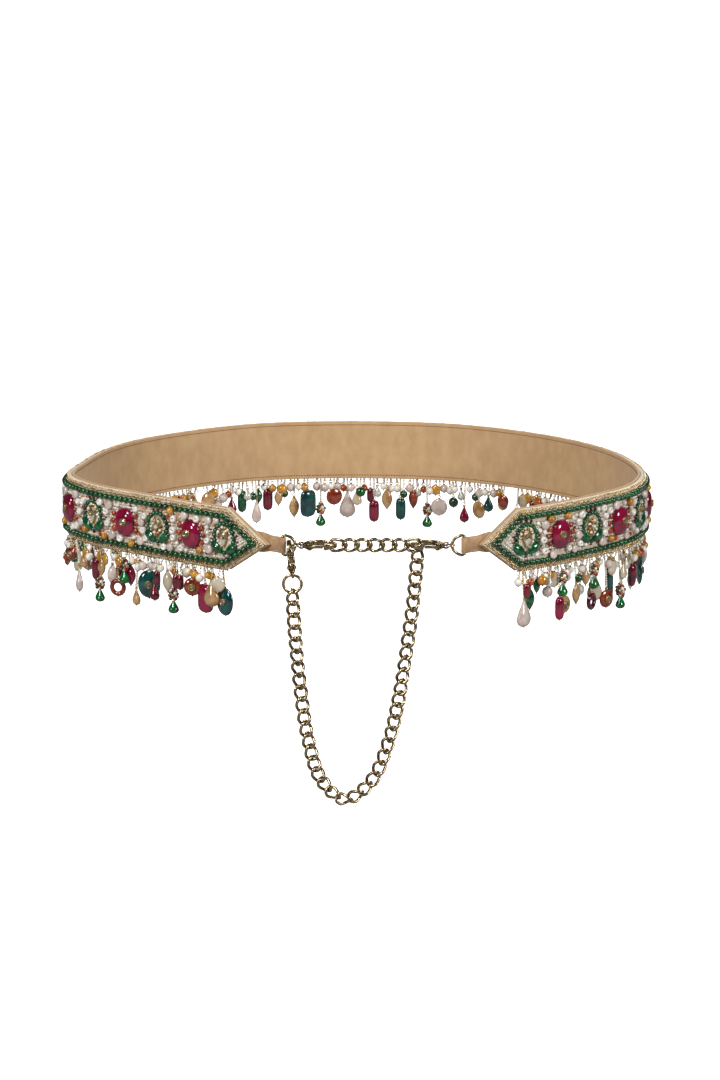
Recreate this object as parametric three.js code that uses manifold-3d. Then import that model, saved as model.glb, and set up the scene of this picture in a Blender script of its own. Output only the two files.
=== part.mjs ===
// An embroidered waist belt: a suede-lined band set with stones and beads, a fringe of drops,
// and a fastening of two D rings, three trigger clasps and a curb chain that hangs in a loop.
// Millimetres, +Z up. +X is to the right as seen from the front, and -Y is the front.
// The origin is the middle of the waist opening at the band's half height.
import * as THREE from "three";
import Module from "manifold-3d";

const wasm = await Module();
wasm.setup();

// Driving sizes, in millimetres unless named otherwise.
const CLEARANCE = 0.3; // between pieces that are sewn, set or looped together
const BAND_HEIGHT = 34;
const SIDE_REACH = 156; // from the middle of the opening to the band at either side
const BACK_REACH = 159; // from the middle of the opening to the band at the back
const FASTENING_REACH = 87.5; // from the middle of the opening to the chain at the front
const FASTENING_OFFSET = 9.9; // the fastening sits a little to the right of the middle
const LINING_THICKNESS = 1.2;
const FACE_THICKNESS = 2.6;
const FACE_EDGE = 0.6; // how far the face stays inside the lining's edge
const FACE_BEVEL = 0.9;
const CHEVRON_LEFT = 25.5;
const CHEVRON_RIGHT = 22;
const FIRST_MOTIF = 27; // from either end of the band to the first flower's middle
const MOTIF_COUNT = 33; // flowers and cabochons in turn, a flower first and last

const ROW_INSET = 5; // from the lining's edge to the middle of the green row
const ROW_WIDTH = 3.2;
const ROW_HEIGHT = 2;

const CABOCHON_WIDTH = 12.5;
const CABOCHON_HEIGHT = 16;
const CABOCHON_RISE = 5;
const FLOWER_WIDTH = 12.6;
const FLOWER_HEIGHT = 15.4;
const FLOWER_RISE = 4.2;

const TAB_HEIGHT = 8.4;
const TAB_THICKNESS = 2.2;
const TAB_REACH_LEFT = 6.5; // from the chevron's point to the D ring's bar
const TAB_REACH_RIGHT = 7.5;
const TAB_FOLD = 0.8; // the suede's wall round the bar
const TAB_ROOT = 13.5; // how far the tab runs back behind the lining

const D_WIRE = 1.4;
const D_BULGE = 6.6; // from the bar's middle line to the bow's
const TAIL_RING_RADIUS = 2.3; // to the middle of its wire
const TAIL_RING_WIRE = 1;
const JUMP_RING_RADIUS = 4.9;
const JUMP_RING_WIRE = 1.4;

const CLASP_LENGTH = 21;
const CLASP_WIDTH = 11;
const CLASP_THICKNESS = 4;
const HOOK_THICKNESS = 2.6; // the bow of the hook is thinner than the cheeks
const HOOK_INSIDE = 0.89; // share of the clasp's length at which the bow begins
const LEVER_THICKNESS = 1.8;
const PIN_RADIUS = 0.5;
const EYE_RADIUS = 2.1;
const EYE_HOLE = 1.15;
const EYE_THICKNESS = 1.6;
const DOWN_CLASP_TILT = 6; // degrees from upright
const DOWN_CLASP_RISE = 3; // the hook's end above the fastening's line
const DOWN_CLASP_OFFSET = 3.15; // from the D ring's bar to the hook's end
const DOWN_CLASP_FORWARD = 0.9; // the clasp's middle in front of the D ring

const LINK_WIRE = 1.5;
const LINK_LENGTH = 9.35;
const LINK_WIDTH = 7.5;
const LINK_BITE = 0.25; // how far two links of one string are pressed into each other
const LINKS_ACROSS = 7;
const LOOP_DROP = 139.5; // from the fastening's line to the lowest link's middle

const FRINGE_REACH = 26; // from the band's lower edge to the longest drop's middle
const FRINGE_CORD = 1.1;
const THREAD = 0.7;
const FRINGE_SWING = 1.6; // drops hang in turn in front of the cord and behind it

// The band's line in plan. A front row's out runs from the band's end, 0, to the side, 1;
// a back row's out is a share of the side reach. back is a share of the back reach.
const LEFT_ARM = [
  { out: 0.311, back: -0.392, lift: 0 },
  { out: 0.615, back: -0.24, lift: 0.4 },
  { out: 0.866, back: -0.1, lift: 0.8 },
];
const BACK = [
  { out: -0.994, back: 0.05, lift: 1 },
  { out: -0.962, back: 0.277, lift: 0.6 },
  { out: -0.872, back: 0.541, lift: 0.3 },
  { out: -0.724, back: 0.736, lift: 0 },
  { out: -0.385, back: 0.937, lift: 0.4 },
  { out: 0, back: 1, lift: 0 },
  { out: 0.385, back: 0.943, lift: 0 },
  { out: 0.718, back: 0.733, lift: 0 },
  { out: 0.923, back: 0.465, lift: 0 },
  { out: 1.006, back: 0.138, lift: 0 },
];
const RIGHT_ARM = [
  { out: 0.915, back: -0.107, lift: 0.5 },
  { out: 0.65, back: -0.283, lift: 0.4 },
  { out: 0.343, back: -0.428, lift: 0.2 },
];

// The stones' outlines: each row is a ring of facets. wide and high are shares of the stone's
// half width and height, out is a share of its rise, and collar counts in wide units both ways.
const CABOCHON_RINGS = [
  { wide: 1, high: 1, out: 0 },
  { wide: 0.96, high: 0.96, out: 0.3 },
  { wide: 0.72, high: 0.76, out: 0.64 },
  { collar: 0.34, out: 1 },
];
const FLOWER_RINGS = [
  { wide: 1, high: 1, out: 0 },
  { wide: 0.94, high: 0.94, out: 0.34 },
  { collar: 0.5, out: 0.5 },
  { collar: 0.36, out: 1 },
];
const CABOCHON_FACETS = 8;
// One share of the radius for each facet corner, from the top and round by the left.
// The two lower lobes are the leaves, which spread in a V.
const PETALS = [1, 0.8, 0.98, 0.8, 1.06, 0.74, 1.06, 0.8, 0.98, 0.8];

// A clasp in its own plane, from the tail at along 0 to the hook's end at 1, as shares of the
// clasp's length, and of its half width, with the lever on the minus side.
const CLASP_OUTLINE = [
  { along: 0.13, side: -0.16 },
  { along: 0.2, side: -0.55 },
  { along: 0.27, side: -0.76 },
  { along: 0.36, side: -0.68 },
  { along: 0.4, side: -0.3 },
  { along: 0.38, side: 0.12 },
  { along: 0.43, side: 0.46 },
  { along: 0.55, side: 0.62 },
  { along: 0.71, side: 0.58 },
  { along: HOOK_INSIDE - 0.04, side: 0.38 },
  { along: HOOK_INSIDE, side: 0 },
  { along: HOOK_INSIDE - 0.035, side: -0.38 },
  { along: 0.76, side: -0.56 },
  { along: 0.66, side: -0.58 },
  { along: 0.66, side: -0.94 },
  { along: 0.77, side: -0.96 },
  { along: 0.9, side: -0.76 },
  { along: 0.98, side: -0.38 },
  { along: 1, side: 0 },
  { along: 0.97, side: 0.4 },
  { along: 0.87, side: 0.78 },
  { along: 0.7, side: 1 },
  { along: 0.5, side: 0.98 },
  { along: 0.33, side: 0.72 },
  { along: 0.2, side: 0.36 },
  { along: 0.13, side: 0.16 },
];
const LEVER_OUTLINE = [
  { along: 0.25, side: -0.36 },
  { along: 0.255, side: -0.56 },
  { along: 0.33, side: -0.84 },
  { along: 0.39, side: -1.04 },
  { along: 0.45, side: -0.9 },
  { along: 0.644, side: -0.9 },
  { along: 0.644, side: -0.62 },
  { along: 0.46, side: -0.58 },
  { along: 0.37, side: -0.26 },
  { along: 0.3, side: -0.2 },
];
const PIVOT = { along: 0.31, side: -0.42 };
// The slot that the lever swings in, cut through the middle of the body.
const SLOT_OUTLINE = [
  { along: 0.2, side: -1.4 },
  { along: 0.225, side: -0.2 },
  { along: 0.3, side: -0.02 },
  { along: 0.42, side: -0.02 },
  { along: 0.5, side: -1.4 },
];

// How a link ends: half of the end's straight, its turn out of the link's plane in degrees,
// where the shoulder is, and the shoulder's turn. Lengths are shares of the half link.
const LINK_ENDS = {
  curb: { straight: 0.5, turn: 36, shoulder: 0.43, shoulderTurn: 17 },
  square: { straight: 0.68, turn: 0, shoulder: 0.74, shoulderTurn: 0 },
  cross: { straight: 0.5, turn: 90, shoulder: 0.43, shoulderTurn: 50 },
};

// The hanging chain's route, from its right end round to its left. across runs from the left
// end, 0, to the right end, 1; down is a share of the loop's drop.
const LOOP_ROUTE = [
  { across: 0.988, down: 0.108 },
  { across: 0.963, down: 0.237 },
  { across: 0.929, down: 0.359 },
  { across: 0.888, down: 0.499 },
  { across: 0.845, down: 0.62 },
  { across: 0.771, down: 0.772 },
  { across: 0.625, down: 0.932 },
  { across: 0.421, down: 1 },
  { across: 0.229, down: 0.924 },
  { across: 0.12, down: 0.757 },
  { across: 0.062, down: 0.567 },
  { across: 0.017, down: 0.34 },
];

// The fringe's drops. wide, high and deep are in millimetres; form names a profile below.
const DROPS = {
  tear: { form: "tear", wide: 7.6, high: 12.5, deep: 4.6 },
  small: { form: "tear", wide: 4.6, high: 8, deep: 3.6 },
  slim: { form: "tear", wide: 4.6, high: 11.5, deep: 3.6 },
  tube: { form: "tube", wide: 4.4, high: 11, deep: 4.4 },
  rod: { form: "tube", wide: 4, high: 16, deep: 4 },
  stone: { form: "tube", wide: 8.6, high: 13.6, deep: 4.6 },
  disc: { form: "disc", wide: 10.4, high: 13, deep: 3 },
  coin: { form: "disc", wide: 7.8, high: 8, deep: 2.4 },
  leaf: { form: "leaf", wide: 5, high: 10, deep: 3 },
  round: { form: "bead", wide: 4.8, high: 4.8, deep: 4.8 },
};
// Profiles from the top down: down is a share of the height, out of the half width.
const PROFILES = {
  tear: [
    { down: 0, out: 0.18 },
    { down: 0.4, out: 0.62 },
    { down: 0.74, out: 1 },
    { down: 1, out: 0.3 },
  ],
  tube: [
    { down: 0, out: 0.35 },
    { down: 0.18, out: 1 },
    { down: 0.82, out: 1 },
    { down: 1, out: 0.35 },
  ],
  disc: [
    { down: 0, out: 0.3 },
    { down: 0.3, out: 0.97 },
    { down: 0.7, out: 0.97 },
    { down: 1, out: 0.3 },
  ],
  leaf: [
    { down: 0, out: 0.14 },
    { down: 0.5, out: 1 },
    { down: 1, out: 0.14 },
  ],
  bead: [
    { down: 0, out: 0.4 },
    { down: 0.5, out: 1 },
    { down: 1, out: 0.4 },
  ],
};
const DROP_SIDES = 4;
// Each stretch of the fringe as shares of the fringe's run, with its drops in order and each
// drop's middle below the band's edge as a share of the fringe's reach.
const FRINGE = [
  {
    name: "fringe_front_left", from: 0, to: 0.142,
    drops: [
      ["disc", 0.68], ["tear", 0.5], ["stone", 0.68], ["coin", 0.45], ["round", 0.2],
      ["slim", 0.86], ["leaf", 0.46], ["small", 0.7], ["disc", 0.6], ["small", 0.88],
      ["leaf", 0.48], ["coin", 0.76], ["leaf", 0.55], ["slim", 0.92], ["tube", 0.5], ["small", 0.33],
    ],
  },
  {
    name: "fringe_side_left", from: 0.142, to: 0.375,
    drops: [
      ["slim", 0.86], ["coin", 0.5], ["tear", 0.66], ["leaf", 0.4], ["tube", 0.72],
      ["small", 0.5], ["slim", 0.88], ["coin", 0.45], ["stone", 0.66], ["leaf", 0.5], ["tube", 0.76],
    ],
  },
  {
    name: "fringe_back", from: 0.375, to: 0.632,
    drops: [
      ["coin", 0.32], ["round", 0.45], ["small", 0.5], ["tube", 0.45], ["slim", 0.67], ["tube", 0.45],
      ["round", 0.12], ["leaf", 0.65], ["stone", 0.55], ["slim", 0.88], ["coin", 0.4], ["tear", 0.6],
      ["round", 0.3], ["tube", 0.76], ["leaf", 0.45], ["tube", 0.7], ["leaf", 0.42], ["slim", 0.88],
      ["coin", 0.6], ["round", 0.5], ["small", 0.72], ["coin", 0.62], ["small", 0.42], ["round", 0.45],
    ],
  },
  {
    name: "fringe_side_right", from: 0.632, to: 0.852,
    drops: [
      ["tube", 0.7], ["coin", 0.5], ["slim", 0.88], ["leaf", 0.45], ["tear", 0.66],
      ["tube", 0.76], ["coin", 0.45], ["small", 0.6], ["slim", 0.88], ["leaf", 0.5], ["stone", 0.62],
    ],
  },
  {
    name: "fringe_front_right", from: 0.852, to: 1,
    drops: [
      ["slim", 0.6], ["disc", 0.6], ["leaf", 0.75], ["tube", 0.6], ["small", 0.9], ["slim", 1],
      ["rod", 0.67], ["coin", 0.93], ["tear", 0.66], ["coin", 0.9], ["round", 0.64], ["leaf", 0.66],
      ["coin", 0.88], ["tube", 0.9], ["round", 0.54], ["round", 0.24], ["leaf", 0.62], ["tear", 0.86],
    ],
  },
];

const paint = (color, roughness, metalness = 0) =>
  new THREE.MeshStandardMaterial({ color, roughness, metalness });
const SUEDE = paint("#b48b60", 0.95);
const CREAM = paint("#d8ccb4", 0.85);
const GREEN_BEAD = paint("#06603a", 0.3);
const MAGENTA = paint("#8f1d4a", 0.25);
const KUNDAN = paint("#c3a35a", 0.35, 0.8);
const OLD_GOLD = paint("#b9975c", 0.3, 1);
const PALE_METAL = paint("#c9bfae", 0.25, 1);
const DROP_MIX = paint("#8a3a3e", 0.35);

const radians = THREE.MathUtils.degToRad;
const v3 = (x, y, z) => new THREE.Vector3(x, y, z);

/** A closed geometry from corner points and triangles. */
function geometry(points, triangles) {
  const made = new THREE.BufferGeometry();
  made.setAttribute("position", new THREE.Float32BufferAttribute(points.flatMap((p) => p.toArray()), 3));
  made.setIndex(triangles.flat());
  return made;
}

/** Rings of equal point counts joined into one body; a closed run has no end caps. */
function skin(rings, closed = false) {
  const count = rings[0].length;
  const triangles = [];
  const last = closed ? rings.length : rings.length - 1;
  for (let i = 0; i < last; i++)
    for (let k = 0; k < count; k++) {
      const a = i * count + k;
      const b = i * count + ((k + 1) % count);
      const c = ((i + 1) % rings.length) * count + ((k + 1) % count);
      const d = ((i + 1) % rings.length) * count + k;
      triangles.push([a, b, c], [a, c, d]);
    }
  const end = (rings.length - 1) * count;
  if (!closed)
    for (let k = 1; k < count - 1; k++) {
      triangles.push([0, k + 1, k]);
      triangles.push([end, end + k, end + k + 1]);
    }
  return geometry(rings.flat(), triangles);
}

/** A geometry as a solid for joining and cutting, turned right side out. */
function solid(shape) {
  const flat = shape.index ? shape : shape.clone();
  const seen = new Map();
  const place = flat.getAttribute("position");
  const corners = [];
  const index = [];
  const read = flat.index ? Array.from(flat.index.array) : Array.from(place.array.keys()).slice(0, place.count);
  for (const i of read) {
    const key = [place.getX(i), place.getY(i), place.getZ(i)].map((n) => Math.round(n * 1e4)).join();
    if (!seen.has(key)) {
      seen.set(key, corners.length / 3);
      corners.push(place.getX(i), place.getY(i), place.getZ(i));
    }
    index.push(seen.get(key));
  }
  const faces = [];
  for (let i = 0; i < index.length; i += 3) {
    const [a, b, c] = index.slice(i, i + 3);
    if (a !== b && b !== c && a !== c) faces.push(a, b, c);
  }
  const build = (tris) =>
    new wasm.Manifold(
      new wasm.Mesh({
        numProp: 3,
        vertProperties: Float32Array.from(corners),
        triVerts: Uint32Array.from(tris),
      }),
    );
  const body = build(faces);
  if (body.volume() >= 0) return body;
  const turned = [];
  for (let i = 0; i < faces.length; i += 3) turned.push(faces[i], faces[i + 2], faces[i + 1]);
  return build(turned);
}

/** A solid back as a geometry. */
function shown(body) {
  const mesh = body.getMesh();
  const points = [];
  for (let i = 0; i < mesh.vertProperties.length; i += mesh.numProp)
    points.push(v3(mesh.vertProperties[i], mesh.vertProperties[i + 1], mesh.vertProperties[i + 2]));
  const triangles = [];
  for (let i = 0; i < mesh.triVerts.length; i += 3)
    triangles.push([mesh.triVerts[i], mesh.triVerts[i + 1], mesh.triVerts[i + 2]]);
  return geometry(points, triangles);
}

/** A closed wire through points, held square to its middle; phase turns its facets. */
function wire(points, radius, sides, middle, phase = 0.5) {
  const rings = points.map((p, i) => {
    const before = points[(i + points.length - 1) % points.length];
    const after = points[(i + 1) % points.length];
    const come = p.clone().sub(before).normalize();
    const go = after.clone().sub(p).normalize();
    const along = come.clone().add(go).normalize();
    const out = p.clone().sub(middle);
    out.addScaledVector(along, -out.dot(along)).normalize();
    const side = along.clone().cross(out);
    const bend = go.clone().sub(come);
    const stretch = bend.length() > 1e-6 ? 1 / along.dot(go) - 1 : 0;
    bend.normalize();
    return Array.from({ length: sides }, (_, k) => {
      const turn = (2 * Math.PI * (k + phase)) / sides;
      const arm = out.clone().multiplyScalar(Math.cos(turn)).addScaledVector(side, Math.sin(turn));
      arm.addScaledVector(bend, arm.dot(bend) * stretch);
      return p.clone().addScaledVector(arm, radius);
    });
  });
  return skin(rings, true);
}

/** A round ring of wire about a middle, spanned by two directions. */
function roundWire(middle, first, second, radius, thickness, steps, sides) {
  const points = Array.from({ length: steps }, (_, i) => {
    const turn = (2 * Math.PI * i) / steps;
    return middle.clone()
      .addScaledVector(first, radius * Math.cos(turn))
      .addScaledVector(second, radius * Math.sin(turn));
  });
  return wire(points, thickness / 2, sides, middle);
}

/** An outline in x and y pushed evenly both ways along z. */
function plate(outline, thickness, bevel = 0) {
  const shape = new THREE.Shape(outline.map((p) => new THREE.Vector2(p.x, p.y)));
  const made = new THREE.ExtrudeGeometry(shape, {
    depth: thickness - 2 * bevel,
    bevelEnabled: bevel > 0,
    bevelThickness: bevel,
    bevelSize: bevel,
    bevelOffset: -bevel,
    bevelSegments: 1,
    steps: 1,
  });
  return made.translate(0, 0, bevel - thickness / 2);
}

/** A round bar along z, centred on a point of the plane. */
function pin(x, y, radius, length, sides) {
  return new THREE.CylinderGeometry(radius, radius, length, sides).rotateX(Math.PI / 2).translate(x, y, 0);
}

// The fastening's places along X, worked out from the left D ring's bar to the right one's.
const linkHalf = (LINK_LENGTH - LINK_WIRE) / 2; // to the middle of the end's wire
const linkSide = (LINK_WIDTH - LINK_WIRE) / 2;
const linkPitch = LINK_LENGTH - 2 * LINK_WIRE + LINK_BITE;
const ringSeat = TAIL_RING_RADIUS - TAIL_RING_WIRE / 2 - D_WIRE / 2 - 0.12;
const eyeToHook = CLASP_LENGTH - EYE_RADIUS;
const hookInside = CLASP_LENGTH * HOOK_INSIDE;
const barToEye = D_BULGE + ringSeat + TAIL_RING_RADIUS;
const firstLink = barToEye - EYE_RADIUS + hookInside - LINK_WIRE / 2 - CLEARANCE / 2 + linkHalf;
const lastLink = firstLink + (LINKS_ACROSS - 1) * linkPitch;
// The right hook passes through the last link just after the wire of the link before it.
const hookBow = CLASP_LENGTH - hookInside;
const rightHookEnd = lastLink - linkHalf + LINK_WIRE * 1.5 - LINK_BITE + CLEARANCE / 2;
const barToBar = rightHookEnd + eyeToHook + barToEye;
const leftBar = v3(FASTENING_OFFSET - barToBar / 2, -FASTENING_REACH, 0);
const rightBar = v3(FASTENING_OFFSET + barToBar / 2, -FASTENING_REACH, 0);

// The band's reference surface lies between the lining and the face.
const liningInside = -CLEARANCE / 2 - LINING_THICKNESS;
const faceOutside = CLEARANCE / 2 + FACE_THICKNESS;
const tabMiddle = liningInside - CLEARANCE - TAB_THICKNESS / 2;

/** The band's line through the plan rows for a pair of ends. */
function planCurve(leftEnd, rightEnd) {
  const arm = (end, side) => (row) =>
    v3(THREE.MathUtils.lerp(end.x, side * SIDE_REACH, row.out), row.back * BACK_REACH, row.lift);
  return new THREE.CatmullRomCurve3(
    [
      leftEnd,
      ...LEFT_ARM.map(arm(leftEnd, -1)),
      ...BACK.map((row) => v3(row.out * SIDE_REACH, row.back * BACK_REACH, row.lift)),
      ...RIGHT_ARM.map(arm(rightEnd, 1)),
      rightEnd,
    ],
    false,
    "centripetal",
  );
}

/** Where the band ends, so that its tab's barrel holds the D ring's bar. */
function bandEnd(bar, along, reach) {
  const out = v3(along.y, -along.x, 0).multiplyScalar(along.x > 0 ? 1 : -1);
  return bar.clone().addScaledVector(along, -reach).addScaledVector(out, -tabMiddle);
}

/** The flat facets of the band: the ends' straights, then two facets to each motif's pitch. */
function layBand() {
  let leftAlong = v3(Math.cos(radians(34)), -Math.sin(radians(34)), 0);
  let rightAlong = v3(-Math.cos(radians(33)), -Math.sin(radians(33)), 0);
  let stations = [];
  let pitch = 0;
  for (let pass = 0; pass < 12; pass++) {
    const curve = planCurve(
      bandEnd(leftBar, leftAlong, TAB_REACH_LEFT),
      bandEnd(rightBar, rightAlong, TAB_REACH_RIGHT),
    );
    curve.arcLengthDivisions = 2000;
    curve.updateArcLengths();
    const length = curve.getLength();
    pitch = (length - 2 * FIRST_MOTIF) / (MOTIF_COUNT - 1);
    const marks = [0];
    for (let k = 0; k < 2 * MOTIF_COUNT; k++) marks.push(FIRST_MOTIF - pitch / 4 + (k * pitch) / 2);
    marks.push(length);
    stations = marks.map((mark) => curve.getPointAt(THREE.MathUtils.clamp(mark / length, 0, 1)));
    const flat = (a, b) => v3(a.x - b.x, a.y - b.y, 0).normalize();
    leftAlong = flat(stations[0], stations[1]);
    rightAlong = flat(stations[stations.length - 1], stations[stations.length - 2]);
  }
  const at = [0];
  for (let i = 1; i < stations.length; i++)
    at.push(at[i - 1] + Math.hypot(stations[i].x - stations[i - 1].x, stations[i].y - stations[i - 1].y));
  const along = stations.slice(1).map((p, i) => v3(p.x - stations[i].x, p.y - stations[i].y, 0).normalize());
  const out = along.map((t) => v3(-t.y, t.x, 0));
  const corner = stations.map((_, i) => {
    const a = out[Math.max(i - 1, 0)];
    const b = out[Math.min(i, out.length - 1)];
    const sum = a.clone().add(b).normalize();
    return sum.multiplyScalar(1 / sum.dot(a));
  });
  return { stations, at, along, out, corner, length: at[at.length - 1] };
}
const band = layBand();

/** The facet that a length along the band falls in. */
function facetOf(along) {
  let i = 0;
  while (i < band.at.length - 2 && along > band.at[i + 1]) i++;
  return i;
}

/** A point at a length along the band, a height from its middle and a distance outward. */
function place(along, height, out) {
  const i = facetOf(along);
  const share = (along - band.at[i]) / (band.at[i + 1] - band.at[i]);
  const from = band.stations[i].clone().addScaledVector(band.corner[i], out);
  const to = band.stations[i + 1].clone().addScaledVector(band.corner[i + 1], out);
  const p = from.lerp(to, share);
  p.z += height;
  return p;
}

/** The frame of a facet: x to the viewer's right, y up and z outward. */
function frame(facet, origin) {
  return new THREE.Matrix4()
    .makeBasis(band.along[facet].clone().negate(), v3(0, 0, 1), band.out[facet])
    .setPosition(origin);
}

/** A section swept along the whole band; its corners are given as height and outward. */
function sweep(section) {
  return skin(band.at.map((along) => section.map((c) => place(along, c.height, c.out))));
}

/** The two wedges that cut the band's ends to a chevron, as one solid for each end. */
function chevronCuts(height, inset) {
  const cuts = [];
  const ends = [
    { facet: 0, origin: place(0, 0, 0), length: CHEVRON_LEFT, way: -1 },
    { facet: band.along.length - 1, origin: place(band.length, 0, 0), length: CHEVRON_RIGHT, way: 1 },
  ];
  for (const end of ends) {
    const slope = BAND_HEIGHT / 2 / end.length;
    const start = inset * Math.hypot(1, 1 / slope);
    for (const up of [-1, 1]) {
      const corner = (along, rise) => new THREE.Vector2(end.way * along, up * rise);
      const outline = [
        corner(start - 4, -4 * slope),
        corner(start + height / 2 / slope + 4, height / 2 + 4 * slope),
        corner(start - 60, height / 2 + 4 * slope),
        corner(start - 60, -4 * slope),
      ];
      const wedge = plate(outline, 24).applyMatrix4(frame(end.facet, end.origin));
      cuts.push(solid(wedge));
    }
  }
  return cuts;
}

/** A bead row or cord laid on the band along a route of lengths and heights. */
function laidRow(route, width, low, high, crown) {
  const rings = route.map((p, i) => {
    const before = route[(i + route.length - 1) % route.length];
    const after = route[(i + 1) % route.length];
    const come = new THREE.Vector2(p.along - before.along, p.height - before.height).normalize();
    const go = new THREE.Vector2(after.along - p.along, after.height - p.height).normalize();
    const way = come.clone().add(go).normalize();
    const stretch = 1 / way.dot(go);
    const side = new THREE.Vector2(-way.y, way.x).multiplyScalar(stretch);
    const corner = (share, out) =>
      place(p.along + (side.x * width * share) / 2, p.height + (side.y * width * share) / 2, out);
    return [corner(-1, low), corner(1, low), corner(crown, high), corner(-crown, high)];
  });
  return skin(rings, true);
}

/** The green row's route: along the top edge, round the chevrons and back along the bottom. */
function greenRoute() {
  const height = BAND_HEIGHT / 2 - ROW_INSET;
  const slopes = [BAND_HEIGHT / 2 / CHEVRON_LEFT, BAND_HEIGHT / 2 / CHEVRON_RIGHT];
  const tips = slopes.map((slope) => ROW_INSET * Math.hypot(1, 1 / slope));
  const corners = [tips[0] + height / slopes[0], band.length - tips[1] - height / slopes[1]];
  const between = band.at.filter((along) => along > corners[0] + 1 && along < corners[1] - 1);
  const side = (up) => [corners[0], ...between, corners[1]].map((along) => ({ along, height: up * height }));
  return [
    { along: tips[0], height: 0 },
    ...side(1),
    { along: band.length - tips[1], height: 0 },
    ...side(-1).reverse(),
  ];
}

/** A set stone as stacked rings of facets, its flat back on z 0. */
function setStone(rings, width, height, rise, corners) {
  const count = corners.length;
  return skin(
    rings.map((ring) =>
      Array.from({ length: count }, (_, k) => {
        const turn = (2 * Math.PI * k) / count + Math.PI / 2;
        const reach = ring.collar ? 1 : corners[k];
        const halfWide = ring.collar ? (ring.collar * width) / 2 : (ring.wide * width) / 2;
        const halfHigh = ring.collar ? halfWide : (ring.high * height) / 2;
        return v3(reach * halfWide * Math.cos(turn), reach * halfHigh * Math.sin(turn), ring.out * rise);
      }),
    ),
  );
}

/** One chain link with its middle at the origin, its length along x and its plane x and y. */
function link(left, right) {
  const half = (end, way) => {
    const turned = (reach, turn, up) =>
      v3(0, up * reach * Math.cos(radians(turn * way)), up * reach * Math.sin(radians(turn * way)));
    const tip = (up) => turned(end.straight * linkSide, end.turn, up).setX(way * linkHalf);
    const shoulder = (up) => turned(linkSide, end.shoulderTurn, up).setX(way * end.shoulder * linkHalf);
    return { tip, shoulder };
  };
  const a = half(LINK_ENDS[left], -1);
  const b = half(LINK_ENDS[right], 1);
  const points = [
    b.tip(1), b.shoulder(1), a.shoulder(1), a.tip(1), a.tip(-1), a.shoulder(-1), b.shoulder(-1), b.tip(-1),
  ];
  return wire(points, LINK_WIRE / 2, 4, v3(0, 0, 0), 0);
}

/** A link set at a place of the chain's plane, its length turned by an angle in that plane. */
function setLink(left, right, x, y, z, way) {
  const made = link(left, right);
  const along = v3(Math.cos(way), 0, Math.sin(way));
  const across = v3(-Math.sin(way), 0, Math.cos(way));
  const matrix = new THREE.Matrix4().makeBasis(along, across, along.clone().cross(across));
  return solid(made.applyMatrix4(matrix.setPosition(leftBar.x + x, leftBar.y + y, z)));
}

/** A clasp's outline in its own plane, in millimetres. */
const claspPlane = (rows) =>
  rows.map((row) => new THREE.Vector2(row.along * CLASP_LENGTH, (row.side * CLASP_WIDTH) / 2));
const pivot = claspPlane([PIVOT])[0];

/** The clasp's body: cheeks, bow, pivot pin and tail eye, soldered into one. */
function claspBody(eyeTurned) {
  const slotWidth = LEVER_THICKNESS + 2 * CLEARANCE;
  let body = solid(plate(claspPlane(CLASP_OUTLINE), CLASP_THICKNESS, 0.5));
  const shave = CLASP_THICKNESS - HOOK_THICKNESS;
  for (const way of [-1, 1]) {
    const low = (way * HOOK_THICKNESS) / 2;
    const high = (way * (CLASP_THICKNESS + shave)) / 2;
    const wedge = plate(
      [
        new THREE.Vector2(CLASP_LENGTH * 0.7, high),
        new THREE.Vector2(CLASP_LENGTH * 0.82, low),
        new THREE.Vector2(CLASP_LENGTH * 1.1, low),
        new THREE.Vector2(CLASP_LENGTH * 1.1, high),
      ],
      CLASP_WIDTH * 1.4,
    ).rotateX(Math.PI / 2);
    body = body.subtract(solid(wedge));
  }
  body = body.subtract(solid(plate(claspPlane(SLOT_OUTLINE), slotWidth)));
  body = body.add(solid(pin(pivot.x, pivot.y, PIN_RADIUS, CLASP_THICKNESS - 0.4, 8)));
  const eye = pin(0, 0, EYE_RADIUS, EYE_THICKNESS, 10);
  const hole = pin(0, 0, EYE_HOLE, CLASP_THICKNESS * 2, 8);
  const turn = eyeTurned ? Math.PI / 2 : 0;
  eye.rotateX(turn).translate(EYE_RADIUS, 0, 0);
  hole.rotateX(turn).translate(EYE_RADIUS, 0, 0);
  return body.add(solid(eye)).subtract(solid(hole));
}

/** The lever that closes the hook, with its round eye on the body's pin. */
function claspLever() {
  const blade = solid(plate(claspPlane(LEVER_OUTLINE), LEVER_THICKNESS, 0.2));
  return blade.subtract(solid(pin(pivot.x, pivot.y, PIN_RADIUS + CLEARANCE / 2, LEVER_THICKNESS * 2, 8)));
}

const root = new THREE.Group();
root.name = "embroidered_belt";

/** Adds a named piece to the part. */
function add(name, shape, material, parent = root) {
  const mesh = new THREE.Mesh(shape, material);
  mesh.name = name;
  parent.add(mesh);
  return mesh;
}

// Band: the lining's wall, the padded face and the green row.
const liningSection = [
  { height: -BAND_HEIGHT / 2, out: -CLEARANCE / 2 },
  { height: -BAND_HEIGHT / 2, out: liningInside },
  { height: BAND_HEIGHT / 2, out: liningInside },
  { height: BAND_HEIGHT / 2, out: -CLEARANCE / 2 },
];
const faceHalf = BAND_HEIGHT / 2 - FACE_EDGE;
const faceSection = [
  { height: -faceHalf, out: CLEARANCE / 2 },
  { height: faceHalf, out: CLEARANCE / 2 },
  { height: faceHalf, out: faceOutside - FACE_BEVEL },
  { height: faceHalf - FACE_BEVEL, out: faceOutside },
  { height: -faceHalf + FACE_BEVEL, out: faceOutside },
  { height: -faceHalf, out: faceOutside - FACE_BEVEL },
];
let lining = solid(sweep(liningSection));
for (const cut of chevronCuts(BAND_HEIGHT, 0)) lining = lining.subtract(cut);
add("lining", shown(lining), SUEDE);
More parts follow.
